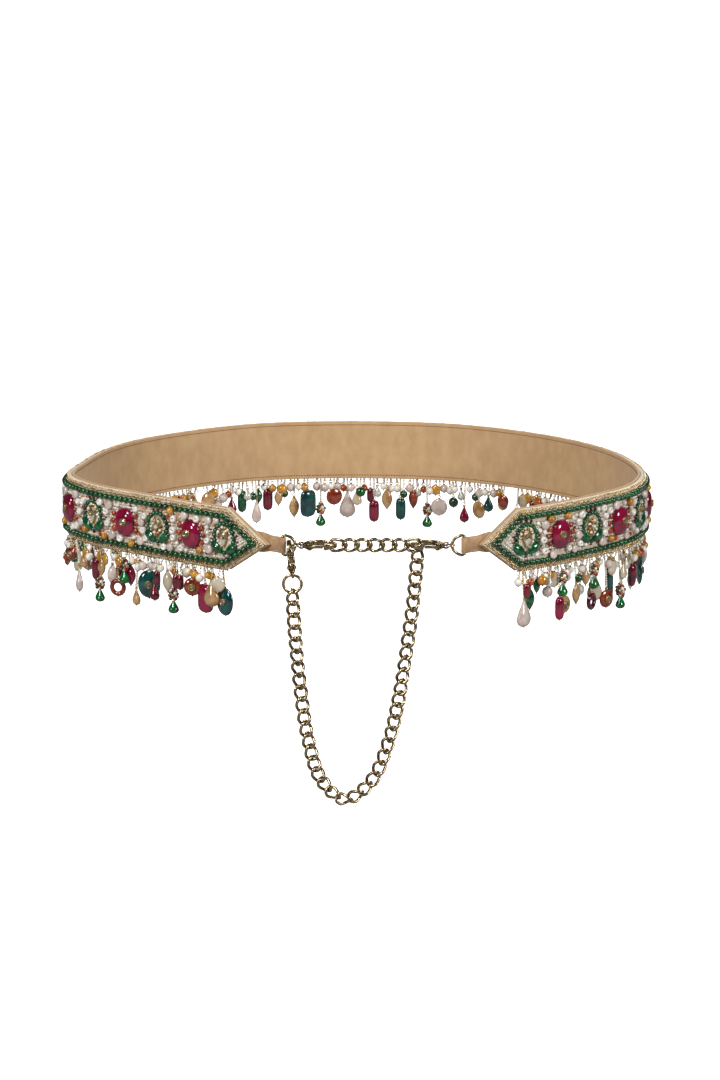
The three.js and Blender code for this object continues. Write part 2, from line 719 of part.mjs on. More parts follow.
let face = solid(sweep(faceSection));
for (const cut of chevronCuts(2 * faceHalf, FACE_EDGE)) face = face.subtract(cut);
add("face_panel", shown(face), CREAM);
const rowSeat = faceOutside + CLEARANCE / 2;
add("green_bead_row", shown(solid(laidRow(greenRoute(), ROW_WIDTH, rowSeat, rowSeat + ROW_HEIGHT, 0.55))), GREEN_BEAD);

// Stones: each motif sits on the facet that its own middle falls in.
const evenCorners = Array(CABOCHON_FACETS).fill(1);
for (let i = 0; i < MOTIF_COUNT; i++) {
  const facet = 1 + 2 * i;
  const middle = (band.at[facet] + band.at[facet + 1]) / 2;
  const isFlower = i % 2 === 0;
  const name = (isFlower ? "flower_" : "cabochon_") + String(Math.floor(i / 2) + 1).padStart(2, "0");
  const shape = isFlower
    ? setStone(FLOWER_RINGS, FLOWER_WIDTH, FLOWER_HEIGHT, FLOWER_RISE, PETALS)
    : setStone(CABOCHON_RINGS, CABOCHON_WIDTH, CABOCHON_HEIGHT, CABOCHON_RISE, evenCorners);
  const mesh = add(name, shown(solid(shape)), isFlower ? KUNDAN : MAGENTA);
  mesh.applyMatrix4(frame(facet, place(middle, 0, rowSeat)));
}

// Fringe: a cord under the face's lower edge with drops on threads, one body a stretch.
const fringeStart = CHEVRON_LEFT + 1;
const fringeRun = band.length - CHEVRON_RIGHT - 1 - fringeStart;
const cordTop = -BAND_HEIGHT / 2 - CLEARANCE;
const cordOut = FACE_THICKNESS / 2;

/** A drop and the thread that holds it, as one body that starts inside the fringe's cord. */
function hungDrop(kind, reach, along, swing) {
  const size = DROPS[kind];
  const facet = facetOf(along);
  const top = place(along, cordTop - FRINGE_CORD / 2, cordOut);
  const start = Math.max(reach * FRINGE_REACH - FRINGE_CORD / 2 - size.high / 2, FRINGE_CORD);
  const ringAt = (low, halfWide, halfDeep, out = swing) =>
    Array.from({ length: DROP_SIDES }, (_, k) => {
      const turn = (2 * Math.PI * k) / DROP_SIDES;
      return top.clone()
        .addScaledVector(band.along[facet], halfWide * Math.cos(turn))
        .addScaledVector(band.out[facet], out + halfDeep * Math.sin(turn))
        .add(v3(0, 0, -low));
    });
  const rings = PROFILES[size.form].map((row) =>
    ringAt(start + row.down * size.high, (row.out * size.wide) / 2, (row.out * size.deep) / 2),
  );
  return solid(skin([ringAt(0, THREAD / 2, THREAD / 2, 0), ...rings]));
}

for (const stretch of FRINGE) {
  const from = fringeStart + stretch.from * fringeRun + (stretch.from > 0 ? CLEARANCE : 0);
  const to = fringeStart + stretch.to * fringeRun;
  const marks = [from, ...band.at.filter((along) => along > from + 0.5 && along < to - 0.5), to];
  const cord = skin(
    marks.map((along) => [
      place(along, cordTop, cordOut - FRINGE_CORD / 2),
      place(along, cordTop, cordOut + FRINGE_CORD / 2),
      place(along, cordTop - FRINGE_CORD, cordOut + FRINGE_CORD / 2),
      place(along, cordTop - FRINGE_CORD, cordOut - FRINGE_CORD / 2),
    ]),
  );
  const pitch = (to - from) / stretch.drops.length;
  const parts = stretch.drops.map(([kind, reach], i) =>
    hungDrop(kind, reach, from + (i + 0.5) * pitch, i % 2 ? FRINGE_SWING : -FRINGE_SWING),
  );
  add(stretch.name, shown(wasm.Manifold.union([solid(cord), ...parts])), DROP_MIX);
}

// Tabs: a suede strip behind each chevron, folded round the D ring's bar.
/** A tab in its own frame: x toward the D ring, y up, z outward, the bar at the origin. */
function tab(reach) {
  const half = TAB_HEIGHT / 2;
  const end = -reach - TAB_ROOT;
  const outline = [
    new THREE.Vector2(0, half),
    new THREE.Vector2(-reach - 1, half),
    new THREE.Vector2(-reach - 6, half * 1.3),
    new THREE.Vector2(end, half * 1.3),
    new THREE.Vector2(end, -half * 1.3),
    new THREE.Vector2(-reach - 6, -half * 1.3),
    new THREE.Vector2(-reach - 1, -half),
    new THREE.Vector2(0, -half),
  ];
  const bar = D_WIRE / 2 + CLEARANCE / 2;
  const barrel = new THREE.CylinderGeometry(bar + TAB_FOLD, bar + TAB_FOLD, TAB_HEIGHT, 12);
  const bore = new THREE.CylinderGeometry(bar, bar, TAB_HEIGHT * 2, 10);
  return solid(plate(outline, TAB_THICKNESS)).add(solid(barrel)).subtract(solid(bore));
}

/** The D ring's bar and bow in its own plane: x toward the bow, y up. */
function dRing() {
  const halfHigh = TAB_HEIGHT / 2 + CLEARANCE * 2 + D_WIRE / 2;
  const bow = [76, 50, 25, 0, -25, -50, -76].map((turn) =>
    v3(D_BULGE * Math.cos(radians(turn)), halfHigh * Math.sin(radians(turn)), 0),
  );
  const barHalf = halfHigh - CLEARANCE * 2;
  return wire([v3(0, -barHalf, 0), v3(0, barHalf, 0), ...bow], D_WIRE / 2, 6, v3(D_BULGE * 0.4, 0, 0));
}

const sides = [
  { name: "left", bar: leftBar, way: 1, facet: 0, reach: TAB_REACH_LEFT },
  { name: "right", bar: rightBar, way: -1, facet: band.along.length - 1, reach: TAB_REACH_RIGHT },
];
for (const side of sides) {
  const toward = band.along[side.facet].clone().multiplyScalar(-side.way);
  const up = v3(0, 0, side.way);
  const tabFrame = new THREE.Matrix4().makeBasis(toward, up, toward.clone().cross(up)).setPosition(side.bar);
  add("leather_tab_" + side.name, shown(tab(side.reach)), SUEDE).applyMatrix4(tabFrame);
  const x = v3(side.way, 0, 0);
  const ringFrame = new THREE.Matrix4().makeBasis(x, v3(0, 0, 1), x.clone().cross(v3(0, 0, 1)));
  add("d_ring_" + side.name, shown(solid(dRing())), OLD_GOLD).applyMatrix4(ringFrame.setPosition(side.bar));
  const ringMiddle = side.bar.clone().addScaledVector(x, D_BULGE + ringSeat);
  const ring = roundWire(ringMiddle, x, v3(0, 1, 0), TAIL_RING_RADIUS, TAIL_RING_WIRE, 10, 5);
  add("tail_ring_" + side.name, shown(solid(ring)), PALE_METAL);
}

// Clasps: x along the clasp from tail to hook, y to the side away from the lever.
const tilt = radians(DOWN_CLASP_TILT);
const upright = v3(-Math.sin(tilt), 0, Math.cos(tilt));
const downHook = v3(leftBar.x + DOWN_CLASP_OFFSET, leftBar.y - DOWN_CLASP_FORWARD, DOWN_CLASP_RISE);
const clasps = [
  { name: "left", tail: leftBar.clone().add(v3(barToEye - EYE_RADIUS, 0, 0)), along: v3(1, 0, 0), turned: true },
  { name: "right", tail: rightBar.clone().add(v3(EYE_RADIUS - barToEye, 0, 0)), along: v3(-1, 0, 0), turned: true },
  { name: "down", tail: downHook.clone().addScaledVector(upright, -CLASP_LENGTH), along: upright, turned: false },
];
for (const clasp of clasps) {
  const side = v3(0, 1, 0);
  const matrix = new THREE.Matrix4().makeBasis(clasp.along, side, clasp.along.clone().cross(side));
  matrix.setPosition(clasp.tail);
  const group = new THREE.Group();
  group.name = "clasp_group_" + clasp.name;
  group.applyMatrix4(matrix);
  root.add(group);
  add("clasp_" + clasp.name, shown(claspBody(clasp.turned)), OLD_GOLD, group);
  add("lever_" + clasp.name, shown(claspLever()), OLD_GOLD, group);
}

// The jump ring hangs in the down clasp's eye, in the chain's plane.
const downEye = downHook.clone().addScaledVector(upright, -eyeToHook);
const ringDrop = (EYE_HOLE - JUMP_RING_WIRE / 2) / 4;
const jumpMiddle = downEye.clone().add(v3(0, 0, -ringDrop - JUMP_RING_RADIUS));
add("jump_ring", shown(solid(roundWire(jumpMiddle, v3(1, 0, 0), v3(0, 0, 1), JUMP_RING_RADIUS, JUMP_RING_WIRE, 16, 6))), OLD_GOLD);

// The chain across: links in a row, the first and last opened out for the hooks.
const acrossLinks = Array.from({ length: LINKS_ACROSS }, (_, i) =>
  setLink(i === 0 ? "square" : "curb", i === LINKS_ACROSS - 1 ? "square" : "curb", firstLink + i * linkPitch, 0, 0, 0),
);
add("chain_across", shown(wasm.Manifold.union(acrossLinks)), OLD_GOLD);

// The hanging loop: its links step along the route, and its drop is eased until they fit.
const hookRight = rightHookEnd + hookBow;
const loopStart = new THREE.Vector2(hookRight + LINK_WIRE / 2 + CLEARANCE * 2.5, -linkSide + LINK_WIRE + CLEARANCE / 2 - linkHalf);
const ringFoot = jumpMiddle.z - JUMP_RING_RADIUS;
const loopEnd = new THREE.Vector2(
  jumpMiddle.x - leftBar.x,
  ringFoot + JUMP_RING_WIRE / 2 + LINK_WIRE / 2 + CLEARANCE / 2 - linkHalf,
);

/** The middles of links stepped along the route for one drop of the loop. */
function stepLoop(drop) {
  const rows = LOOP_ROUTE.map((row) =>
    v3(THREE.MathUtils.lerp(loopEnd.x, loopStart.x, row.across), 0, -row.down * drop),
  );
  const curve = new THREE.CatmullRomCurve3(
    [v3(loopStart.x, 0, loopStart.y), ...rows, v3(loopEnd.x, 0, loopEnd.y)],
    false,
    "centripetal",
  );
  const fine = curve.getPoints(3000);
  const middles = [fine[0]];
  for (let i = 1; i < fine.length; i++)
    if (fine[i].distanceTo(middles[middles.length - 1]) >= linkPitch) {
      const last = middles[middles.length - 1];
      const over = fine[i].distanceTo(last);
      const under = fine[i - 1].distanceTo(last);
      middles.push(fine[i - 1].clone().lerp(fine[i], (linkPitch - under) / (over - under)));
    }
  const rest = middles[middles.length - 1].distanceTo(fine[fine.length - 1]);
  return { middles, steps: middles.length - 1 + rest / linkPitch, end: fine[fine.length - 1] };
}

/** The loop's links for the whole number of steps nearest to the named drop. */
function loopMiddles() {
  const wanted = Math.round(stepLoop(LOOP_DROP).steps);
  let low = LOOP_DROP * 0.8;
  let high = LOOP_DROP * 1.2;
  for (let i = 0; i < 40; i++) {
    const drop = (low + high) / 2;
    if (stepLoop(drop).steps < wanted) low = drop;
    else high = drop;
  }
  const loop = stepLoop(low);
  return [...loop.middles.slice(0, wanted), loop.end];
}

const middles = loopMiddles();
const loopLinks = middles.map((p, i) => {
  const before = middles[Math.max(i - 1, 0)];
  const after = middles[Math.min(i + 1, middles.length - 1)];
  const ends = i === 0 || i === middles.length - 1;
  const way = ends ? (i === 0 ? -Math.PI / 2 : Math.PI / 2) : Math.atan2(after.z - before.z, after.x - before.x);
  const forward = (-DOWN_CLASP_FORWARD * i) / (middles.length - 1);
  return setLink(i === 0 ? "cross" : "curb", i === middles.length - 1 ? "cross" : "curb", p.x, forward, p.z, way);
});
add("chain_loop", shown(wasm.Manifold.union(loopLinks)), OLD_GOLD);

export default root;
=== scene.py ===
"""Dresses the embroidered waist belt: suede, padded cloth, beads, stones, fringe and fastening.

Sizes are in millimetres in the row frame, and become metres when a mesh is made.
"""

import logging
from dataclasses import dataclass, field, replace
from enum import Enum
from math import atan2, cos, hypot, pi, radians, sin, sqrt, tau
from typing import Sequence

import bmesh
import bpy
import numpy as np
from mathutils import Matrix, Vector


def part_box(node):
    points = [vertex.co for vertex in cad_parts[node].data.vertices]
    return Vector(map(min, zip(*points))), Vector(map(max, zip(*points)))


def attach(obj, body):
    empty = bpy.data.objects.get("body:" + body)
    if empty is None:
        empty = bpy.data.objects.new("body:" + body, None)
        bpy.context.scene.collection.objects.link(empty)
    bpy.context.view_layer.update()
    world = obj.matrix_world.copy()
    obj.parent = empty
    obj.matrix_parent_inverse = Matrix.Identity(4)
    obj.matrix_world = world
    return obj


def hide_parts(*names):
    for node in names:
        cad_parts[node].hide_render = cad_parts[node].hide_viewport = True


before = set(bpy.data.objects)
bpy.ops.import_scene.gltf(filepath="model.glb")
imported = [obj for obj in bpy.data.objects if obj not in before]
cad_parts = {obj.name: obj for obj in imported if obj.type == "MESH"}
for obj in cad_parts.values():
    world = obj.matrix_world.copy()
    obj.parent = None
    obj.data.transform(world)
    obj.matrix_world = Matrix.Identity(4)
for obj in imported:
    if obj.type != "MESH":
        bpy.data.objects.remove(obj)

LOG = logging.getLogger("belt")
METRE = 0.001
Array = np.ndarray
Chance = np.random.Generator
Pair = tuple[float, float]
Colour = tuple[float, float, float]
Node = bpy.types.Node
Socket = bpy.types.NodeSocket
Tree = bpy.types.NodeTree
Inputs = dict[str | int, object]

UP = np.array([0.0, 0.0, 1.0])
# Stands a flat form up, so that its y points along the row frame's z.
UPRIGHT = np.array([[1, 0, 0], [0, 0, -1], [0, 1, 0]], float)

# The turn, in radians, from each bead of a bunch to the next.
SPIRAL = 2.4


def srgb(*channels: int) -> Colour:
    """Turns a screen colour, three channels from 0 to 255, into the shader's linear colour."""
    shares = (channel / 255 for channel in channels)
    return tuple(s / 12.92 if s <= 0.04045 else ((s + 0.055) / 1.055) ** 2.4 for s in shares)


def around(steps: int) -> Array:
    """Even turns round a circle, in radians."""
    return np.arange(steps) * 2 * pi / steps


def linked(name: str, data: bpy.types.ID) -> bpy.types.Object:
    """Puts data into the scene as an object.

    Args:
        name: The object's name.
        data: A mesh, a lamp or a camera.

    Returns:
        The object.
    """
    made = bpy.data.objects.new(name, data)
    bpy.context.scene.collection.objects.link(made)
    return made


class Effect(Enum):
    """The surface effects that several finishes share."""

    CLOUDS = "soft_clouds"
    NAP = "suede_nap"
    WEAVE = "plain_weave"
    RUBBED = "rubbed_metal"


class Wiring:
    """Adds nodes to one tree and joins them."""

    def __init__(self, tree: Tree) -> None:
        """Keeps the material's or the group's tree."""
        self.tree = tree

    def feed(self, socket: Socket, value: object) -> None:
        """Joins another socket to this one, or sets this one's value.

        Args:
            socket: The input.
            value: An output socket, a number or a colour.
        """
        if isinstance(value, Socket):
            self.tree.links.new(value, socket)
        elif isinstance(value, tuple) and len(value) == 3 and socket.type == "RGBA":
            socket.default_value = (*value, 1.0)
        else:
            socket.default_value = value

    def fill(self, node: Node, inputs: Inputs) -> None:
        """Feeds a node's inputs by name or number."""
        for key, value in inputs.items():
            self.feed(node.inputs[key], value)

    def add(self, kind: str, inputs: Inputs | None = None, **settings: object) -> Node:
        """Adds a node, sets it and feeds its inputs.

        Args:
            kind: The node's type name.
            inputs: What its inputs get, by name or number.
            settings: Its settings by attribute name.

        Returns:
            The new node.
        """
        node = self.tree.nodes.new(kind)
        for key, value in settings.items():
            setattr(node, key, value)
        self.fill(node, inputs or {})
        return node

    def maths(self, operation: str, *values: object) -> Socket:
        """The result of a Math node on one or two values."""
        return self.add("ShaderNodeMath", dict(enumerate(values)), operation=operation).outputs[0]

    def ramp(self, value: object, low: object, high: object, start: float = 0.0, end: float = 1.0) -> Socket:
        """Maps a value that goes from low to high, so that it goes from start to end, held at both."""
        inputs = {"Value": value, "From Min": low, "From Max": high, "To Min": start, "To Max": end}
        return self.add("ShaderNodeMapRange", inputs).outputs["Result"]

    def blend(self, share: Socket, first: object, second: object) -> Socket:
        """Mixes two colours by a share from 0, all the first, to 1."""
        return self.add("ShaderNodeMix", {0: share, 6: first, 7: second}, data_type="RGBA").outputs[2]

    def noise(self, where: Socket, detail: float, roughness: float = 0.5) -> Socket:
        """A noise about 0.5, with one grain to each unit of its coordinates."""
        inputs = {"Vector": where, "Scale": 1.0, "Detail": detail, "Roughness": roughness}
        return self.add("ShaderNodeTexNoise", inputs).outputs["Fac"]


class EffectShelf:
    """Builds each shared effect once, as a node group that works on sizes in millimetres."""

    def __init__(self) -> None:
        """Starts with no group built."""
        self.built: dict[Effect, bpy.types.NodeTree] = {}

    def get(self, effect: Effect) -> Tree:
        """The group of an effect.

        Args:
            effect: Which one.

        Returns:
            Its node tree.
        """
        makers = {
            Effect.CLOUDS: self.clouds, Effect.NAP: self.nap,
            Effect.WEAVE: self.weave, Effect.RUBBED: self.rubbed,
        }
        if effect not in self.built:
            self.built[effect] = makers[effect]()
        return self.built[effect]

    def start(
        self, effect: Effect, inputs: dict[str, float], outputs: list[str],
    ) -> tuple[Wiring, dict, Node]:
        """Starts a group with number sockets.

        Args:
            effect: The effect, which names the group.
            inputs: Each input's name and usual value.
            outputs: The outputs' names.

        Returns:
            The wiring, the inputs' sockets and the output node.
        """
        tree = bpy.data.node_groups.new(effect.value, "ShaderNodeTree")
        for key, usual in inputs.items():
            made = tree.interface.new_socket(key, in_out="INPUT", socket_type="NodeSocketFloat")
            made.default_value = usual
        for key in outputs:
            tree.interface.new_socket(key, in_out="OUTPUT", socket_type="NodeSocketFloat")
        wiring = Wiring(tree)
        source = wiring.add("NodeGroupInput").outputs
        return wiring, {key: source[key] for key in inputs}, wiring.add("NodeGroupOutput")

    def grains(
        self, wiring: Wiring, size: Socket, stretch: Colour = (1.0, 1.0, 1.0), uv: bool = False,
    ) -> Socket:
        """Coordinates that count in grains of a size in millimetres.

        Args:
            wiring: The group's wiring.
            size: A grain's size.
            stretch: Extra scale on each axis.
            uv: True to lie along the cloth rather than in space.

        Returns:
            The coordinates.
        """
        place = wiring.add("ShaderNodeTexCoord").outputs["UV" if uv else "Object"]
        shaped = wiring.add("ShaderNodeVectorMath", {0: place, 1: stretch}, operation="MULTIPLY").outputs[0]
        count = wiring.maths("DIVIDE", 1 / METRE, size)
        return wiring.add("ShaderNodeVectorMath", {0: shaped, "Scale": count}, operation="SCALE").outputs[0]

    def clouds(self) -> Tree:
        """Soft patches, as a mask from 0 to 1, and a finer grain.

        Returns:
            The group.
        """
        usual = {"Size": 3.0, "Low": 0.4, "High": 0.62}
        wiring, given, out = self.start(Effect.CLOUDS, usual, ["Mask", "Fine"])
        broad = wiring.noise(self.grains(wiring, given["Size"]), 2.0)
        fine = wiring.noise(self.grains(wiring, wiring.maths("MULTIPLY", given["Size"], 0.12)), 2.0)
        wiring.fill(out, {"Mask": wiring.ramp(broad, given["Low"], given["High"]), "Fine": fine})
        return wiring.tree

    def nap(self) -> Tree:
        """Brushed leather: broad strokes of the hand and short fibres.

        Returns:
            The group.
        """
        wiring, given, out = self.start(Effect.NAP, {"Fibre": 0.35, "Stroke": 9.0}, ["Strokes", "Fibres"])
        broad = wiring.noise(self.grains(wiring, given["Stroke"], (1.0, 1.0, 0.6)), 4.0, 0.6)
        fine = wiring.noise(self.grains(wiring, given["Fibre"], (1.0, 1.0, 0.5)), 3.0, 0.7)
        wiring.fill(out, {"Strokes": wiring.ramp(broad, 0.36, 0.66), "Fibres": fine})
        return wiring.tree

    def weave(self) -> Tree:
        """Plain cloth: threads over and under, laid along the piece's own map.

        Returns:
            The group.
        """
        wiring, given, out = self.start(Effect.WEAVE, {"Thread": 0.45}, ["Threads", "Slubs"])
        split = wiring.add("ShaderNodeSeparateXYZ", {0: self.grains(wiring, given["Thread"], uv=True)})
        along, across = (
            wiring.maths("ABSOLUTE", wiring.maths("SINE", wiring.maths("MULTIPLY", split.outputs[k], pi)))
            for k in range(2)
        )
        thick = self.grains(wiring, wiring.maths("MULTIPLY", given["Thread"], 6.0), (0.2, 1.0, 1.0), uv=True)
        threads = wiring.maths("MULTIPLY", along, across)
        wiring.fill(out, {"Threads": threads, "Slubs": wiring.noise(thick, 3.0)})
        return wiring.tree

    def rubbed(self) -> Tree:
        """Old metal: dull, darker patches that are partly tarnish and partly painted shade, and fine
        scratches.

        Returns:
            The group.
        """
        usual = {"Patch": 1.6, "Scratch": 0.25}
        wiring, given, out = self.start(Effect.RUBBED, usual, ["Tarnish and Shade", "Scratches"])
        patch = wiring.noise(self.grains(wiring, given["Patch"]), 4.0, 0.65)
        fine = wiring.noise(self.grains(wiring, given["Scratch"], (0.15, 1.0, 0.3)), 2.0, 0.6)
        wiring.fill(out, {"Tarnish and Shade": wiring.ramp(patch, 0.5, 0.7), "Scratches": fine})
        return wiring.tree


SHELF = EffectShelf()


@dataclass(frozen=True)
class Finish:
    """A surface finish: its name, the record's slot, and its two main colours."""

    name: str
    slot: str
    light: Colour
    dark: Colour

    def material(self) -> bpy.types.Material:
        """The material, made when it is first asked for.

        Returns:
            The Blender material.
        """
        made = bpy.data.materials.get(self.name)
        if made is None:
            made = bpy.data.materials.new(self.name)
            made.use_nodes = True
            made.diffuse_color = (*self.light, 1.0)
            self.paint(Wiring(made.node_tree), made.node_tree.nodes["Principled BSDF"])
        return made

    def effect(self, wiring: Wiring, effect: Effect, **values: float) -> dict[str, Socket]:
        """Places a shared effect with its own values, and gives its outputs by name."""
        node = wiring.add("ShaderNodeGroup", values, node_tree=SHELF.get(effect))
        return {socket.name: socket for socket in node.outputs}

    def tinted(self, wiring: Wiring, colour: Socket, reach: float) -> Socket:
        """A colour whose value goes up or down by a reach, from each small form to the next."""
        tint = wiring.add("ShaderNodeAttribute", attribute_name="tint").outputs["Fac"]
        inputs = {"Color": colour, "Value": wiring.ramp(tint, 0.0, 1.0, 1.0 - reach, 1.0 + reach)}
        return wiring.add("ShaderNodeHueSaturation", inputs).outputs["Color"]

    def relief(self, wiring: Wiring, height: Socket, strength: float, depth: float) -> Socket:
        """The normal of a height from 0 to 1, by a bump's strength and its depth in millimetres."""
        inputs = {"Strength": strength, "Distance": depth * METRE, "Height": height}
        return wiring.add("ShaderNodeBump", inputs).outputs["Normal"]

    def paint(self, wiring: Wiring, shader: Node) -> None:
        """Wires the finish, in each kind's own way."""
        raise NotImplementedError


@dataclass(frozen=True)
class Suede(Finish):
    """Brushed leather with a short nap."""

    stroke: float = 9.0

    def paint(self, wiring: Wiring, shader: Node) -> None:
        """Wires the nap's strokes and fibres.

        Args:
            wiring: The material's wiring.
            shader: The Principled node.
        """
        nap = self.effect(wiring, Effect.NAP, Stroke=self.stroke)
        broad = wiring.blend(nap["Strokes"], self.dark, self.light)
        fine = wiring.ramp(nap["Fibres"], 0.3, 0.7, 0.0, 0.3)
        wiring.fill(shader, {
            "Base Color": wiring.blend(fine, broad, self.light),
            "Roughness": wiring.ramp(nap["Fibres"], 0.3, 0.7, 0.84, 0.98),
            "Sheen Weight": 0.25, "Sheen Roughness": 0.5,
            "Normal": self.relief(wiring, nap["Fibres"], 0.5, 0.12),
        })


@dataclass(frozen=True)
class Cloth(Finish):
    """Woven silk over padding."""

    thread: float = 0.5

    def paint(self, wiring: Wiring, shader: Node) -> None:
        """Wires the threads, darker in the gaps between them as painted shade, and their slubs.

        Args:
            wiring: The material's wiring.
            shader: The Principled node.
        """
        weave = self.effect(wiring, Effect.WEAVE, Thread=self.thread)
        # The colour runs darker into the gaps between threads: painted shade in the weave's hollows.
        threads = wiring.blend(weave["Threads"], self.dark, self.light)
        slubs = wiring.ramp(weave["Slubs"], 0.4, 0.7, 0.0, 0.35)
        wiring.fill(shader, {
            "Base Color": wiring.blend(slubs, threads, self.dark),
            "Roughness": wiring.ramp(weave["Threads"], 0.0, 1.0, 0.85, 0.6),
            "Sheen Weight": 0.15,
            "Normal": self.relief(wiring, weave["Threads"], 0.7, 0.1),
        })


@dataclass(frozen=True)
class Glass(Finish):
    """Glass, pearl or stone, polished, with clouds of a second colour in it, which on the bottle green stone
    is a painted highlight.
    """

    cloud: float = 3.0
    clear: float = 0.0
    rough: float = 0.12
    vary: float = 0.12
    low: float = 0.42
    high: float = 0.64

    def paint(self, wiring: Wiring, shader: Node) -> None:
        """Wires the clouds, the polish and the small differences between stones.

        Args:
            wiring: The material's wiring.
            shader: The Principled node.
        """
        clouds = self.effect(wiring, Effect.CLOUDS, Size=self.cloud, Low=self.low, High=self.high)
        colour = wiring.blend(clouds["Mask"], self.light, self.dark)
        wiring.fill(shader, {
            "Base Color": self.tinted(wiring, colour, self.vary),
            "Roughness": wiring.ramp(clouds["Fine"], 0.3, 0.75, self.rough * 0.6, self.rough * 1.7),
            "Coat Weight": 0.7, "Coat Roughness": 0.05, "IOR": 1.58, "Transmission Weight": self.clear,
            "Normal": self.relief(wiring, clouds["Fine"], 0.12, 0.05),
        })


@dataclass(frozen=True)
class Metal(Finish):
    """Plated metal, rubbed bright, with darker patches left: tarnish, and on the antique gold painted shade
    too.
    """

    bright: float = 0.24
    patch: float = 1.6

    def paint(self, wiring: Wiring, shader: Node) -> None:
        """Wires the darker patches, tarnish and painted shade, and the scratches.

        Args:
            wiring: The material's wiring.
            shader: The Principled node.
        """
        old = self.effect(wiring, Effect.RUBBED, Patch=self.patch)
        # The darker patches are tarnish and, on the antique gold, painted shade.
        colour = wiring.blend(old["Tarnish and Shade"], self.light, self.dark)
        dull = wiring.ramp(old["Tarnish and Shade"], 0.0, 1.0, self.bright, self.bright + 0.24)
        fine = wiring.ramp(old["Scratches"], 0.4, 0.8, 0.0, 0.12)
        wiring.fill(shader, {
            "Base Color": self.tinted(wiring, colour, 0.1), "Roughness": wiring.maths("ADD", dull, fine),
            "Metallic": 1.0, "Normal": self.relief(wiring, old["Scratches"], 0.15, 0.05),
        })


@dataclass(frozen=True)
class Thread(Finish):
    """Sewing thread."""

    def paint(self, wiring: Wiring, shader: Node) -> None:
        """Wires the thread's twist.

        Args:
            wiring: The material's wiring.
            shader: The Principled node.
        """
        nap = self.effect(wiring, Effect.NAP, Fibre=0.15, Stroke=2.0)
        wiring.fill(shader, {
            "Base Color": wiring.blend(nap["Fibres"], self.dark, self.light),
            "Roughness": wiring.ramp(nap["Fibres"], 0.3, 0.7, 0.6, 0.9),
            "Normal": self.relief(wiring, nap["Fibres"], 0.6, 0.08),
        })


SUEDE = Suede("tan_suede", "suede", srgb(202, 165, 121), srgb(188, 151, 108), stroke=6.0)
TAB_SUEDE = Suede("tab_suede", "suede", srgb(190, 152, 112), srgb(156, 118, 82), stroke=3.0)
CREAM_CLOTH = Cloth("cream_silk", "cream_cloth", srgb(238, 226, 204), srgb(206, 186, 158))
SEAM_THREAD = Thread("seam_thread", "suede", srgb(130, 82, 48), srgb(96, 58, 34))
CREAM_THREAD = Thread("cream_thread", "cream_cloth", srgb(232, 220, 198), srgb(196, 176, 146))
GREEN = Glass("green_glass", "green_beads", srgb(0, 84, 28), srgb(0, 46, 15), cloud=4.0, rough=0.09)
# The bottle green stone's lighter clouds are a painted highlight, a glint laid into its colour.
BOTTLE = Glass(
    "bottle_green_painted_highlight", "green_beads", srgb(0, 68, 34), srgb(20, 124, 66),
    cloud=2.2, low=0.5, high=0.68, rough=0.09,
)
TEAL = Glass("teal_stone", "fringe_mix", srgb(2, 80, 74), srgb(0, 44, 50), cloud=5.0)
RUBY = Glass("ruby_stone", "magenta_stone", srgb(140, 4, 54), srgb(98, 2, 34), cloud=6.0, rough=0.08)
MAROON = Glass("maroon_stone", "fringe_mix", srgb(116, 8, 36), srgb(66, 2, 20), cloud=4.0)
ROSE = Glass("rose_quartz", "fringe_mix", srgb(236, 220, 210), srgb(214, 190, 178), cloud=4.0, clear=0.15)
CREAM_STONE = Glass(
    "cream_stone", "fringe_mix", srgb(230, 216, 190), srgb(202, 178, 142), cloud=5.0, clear=0.15,
)
HONEY = Glass("honey_stone", "fringe_mix", srgb(222, 182, 128), srgb(184, 128, 68), cloud=4.0, clear=0.3)
AMBER = Glass("amber_bead", "fringe_mix", srgb(206, 148, 44), srgb(168, 102, 22), cloud=3.0)
RUST = Glass("rust_stone", "fringe_mix", srgb(150, 58, 24), srgb(98, 26, 12), cloud=2.5)
ORANGE = Glass("orange_bead", "fringe_mix", srgb(184, 76, 26), srgb(132, 42, 14), cloud=2.0, vary=0.22)
PEACH = Glass("peach_chip", "fringe_mix", srgb(224, 174, 136), srgb(194, 136, 96), cloud=2.0, vary=0.2)
PEARL = Glass(
    "white_pearl", "cream_cloth", srgb(252, 248, 240), srgb(234, 224, 210), cloud=2.0, rough=0.16, vary=0.06,
)
SEED_WHITE = Glass(
    "white_seed", "cream_cloth", srgb(252, 246, 234), srgb(230, 218, 198), cloud=1.5, rough=0.2,
)
SEED_CREAM = Glass(
    "cream_seed", "fringe_mix", srgb(226, 208, 172), srgb(190, 162, 116), cloud=1.0, rough=0.2, vary=0.16,
)
SEED_RED = Glass("red_seed", "magenta_stone", srgb(138, 14, 34), srgb(86, 4, 20), cloud=1.0, vary=0.2)
CRYSTAL = Glass(
    "clear_crystal", "gilt_setting", srgb(244, 242, 232), srgb(190, 186, 172),
    cloud=1.2, rough=0.05, clear=0.3,
)
MIRROR = Glass(
    "mirror_stone", "gilt_setting", srgb(150, 146, 138), srgb(66, 62, 60), cloud=1.0, rough=0.04, clear=0.2,
)
EMERALD = Glass("emerald_drop", "green_beads", srgb(6, 128, 52), srgb(0, 84, 34), cloud=3.0, clear=0.25)
SEED_GOLD = Metal("gold_seed", "gilt_setting", srgb(220, 190, 138), srgb(120, 88, 54), bright=0.16, patch=0.5)
GILT = Metal("gilt_setting", "gilt_setting", srgb(214, 172, 96), srgb(128, 86, 40), bright=0.2)
# The antique gold's darker colour is tarnish and painted shade: it is set as dark as the shading on polished
# links.
OLD_GOLD = Metal("antique_gold", "old_gold", srgb(180, 160, 126), srgb(62, 51, 37), bright=0.19)
PALE = Metal("pale_metal", "pale_metal", srgb(200, 192, 178), srgb(116, 106, 94), bright=0.2)


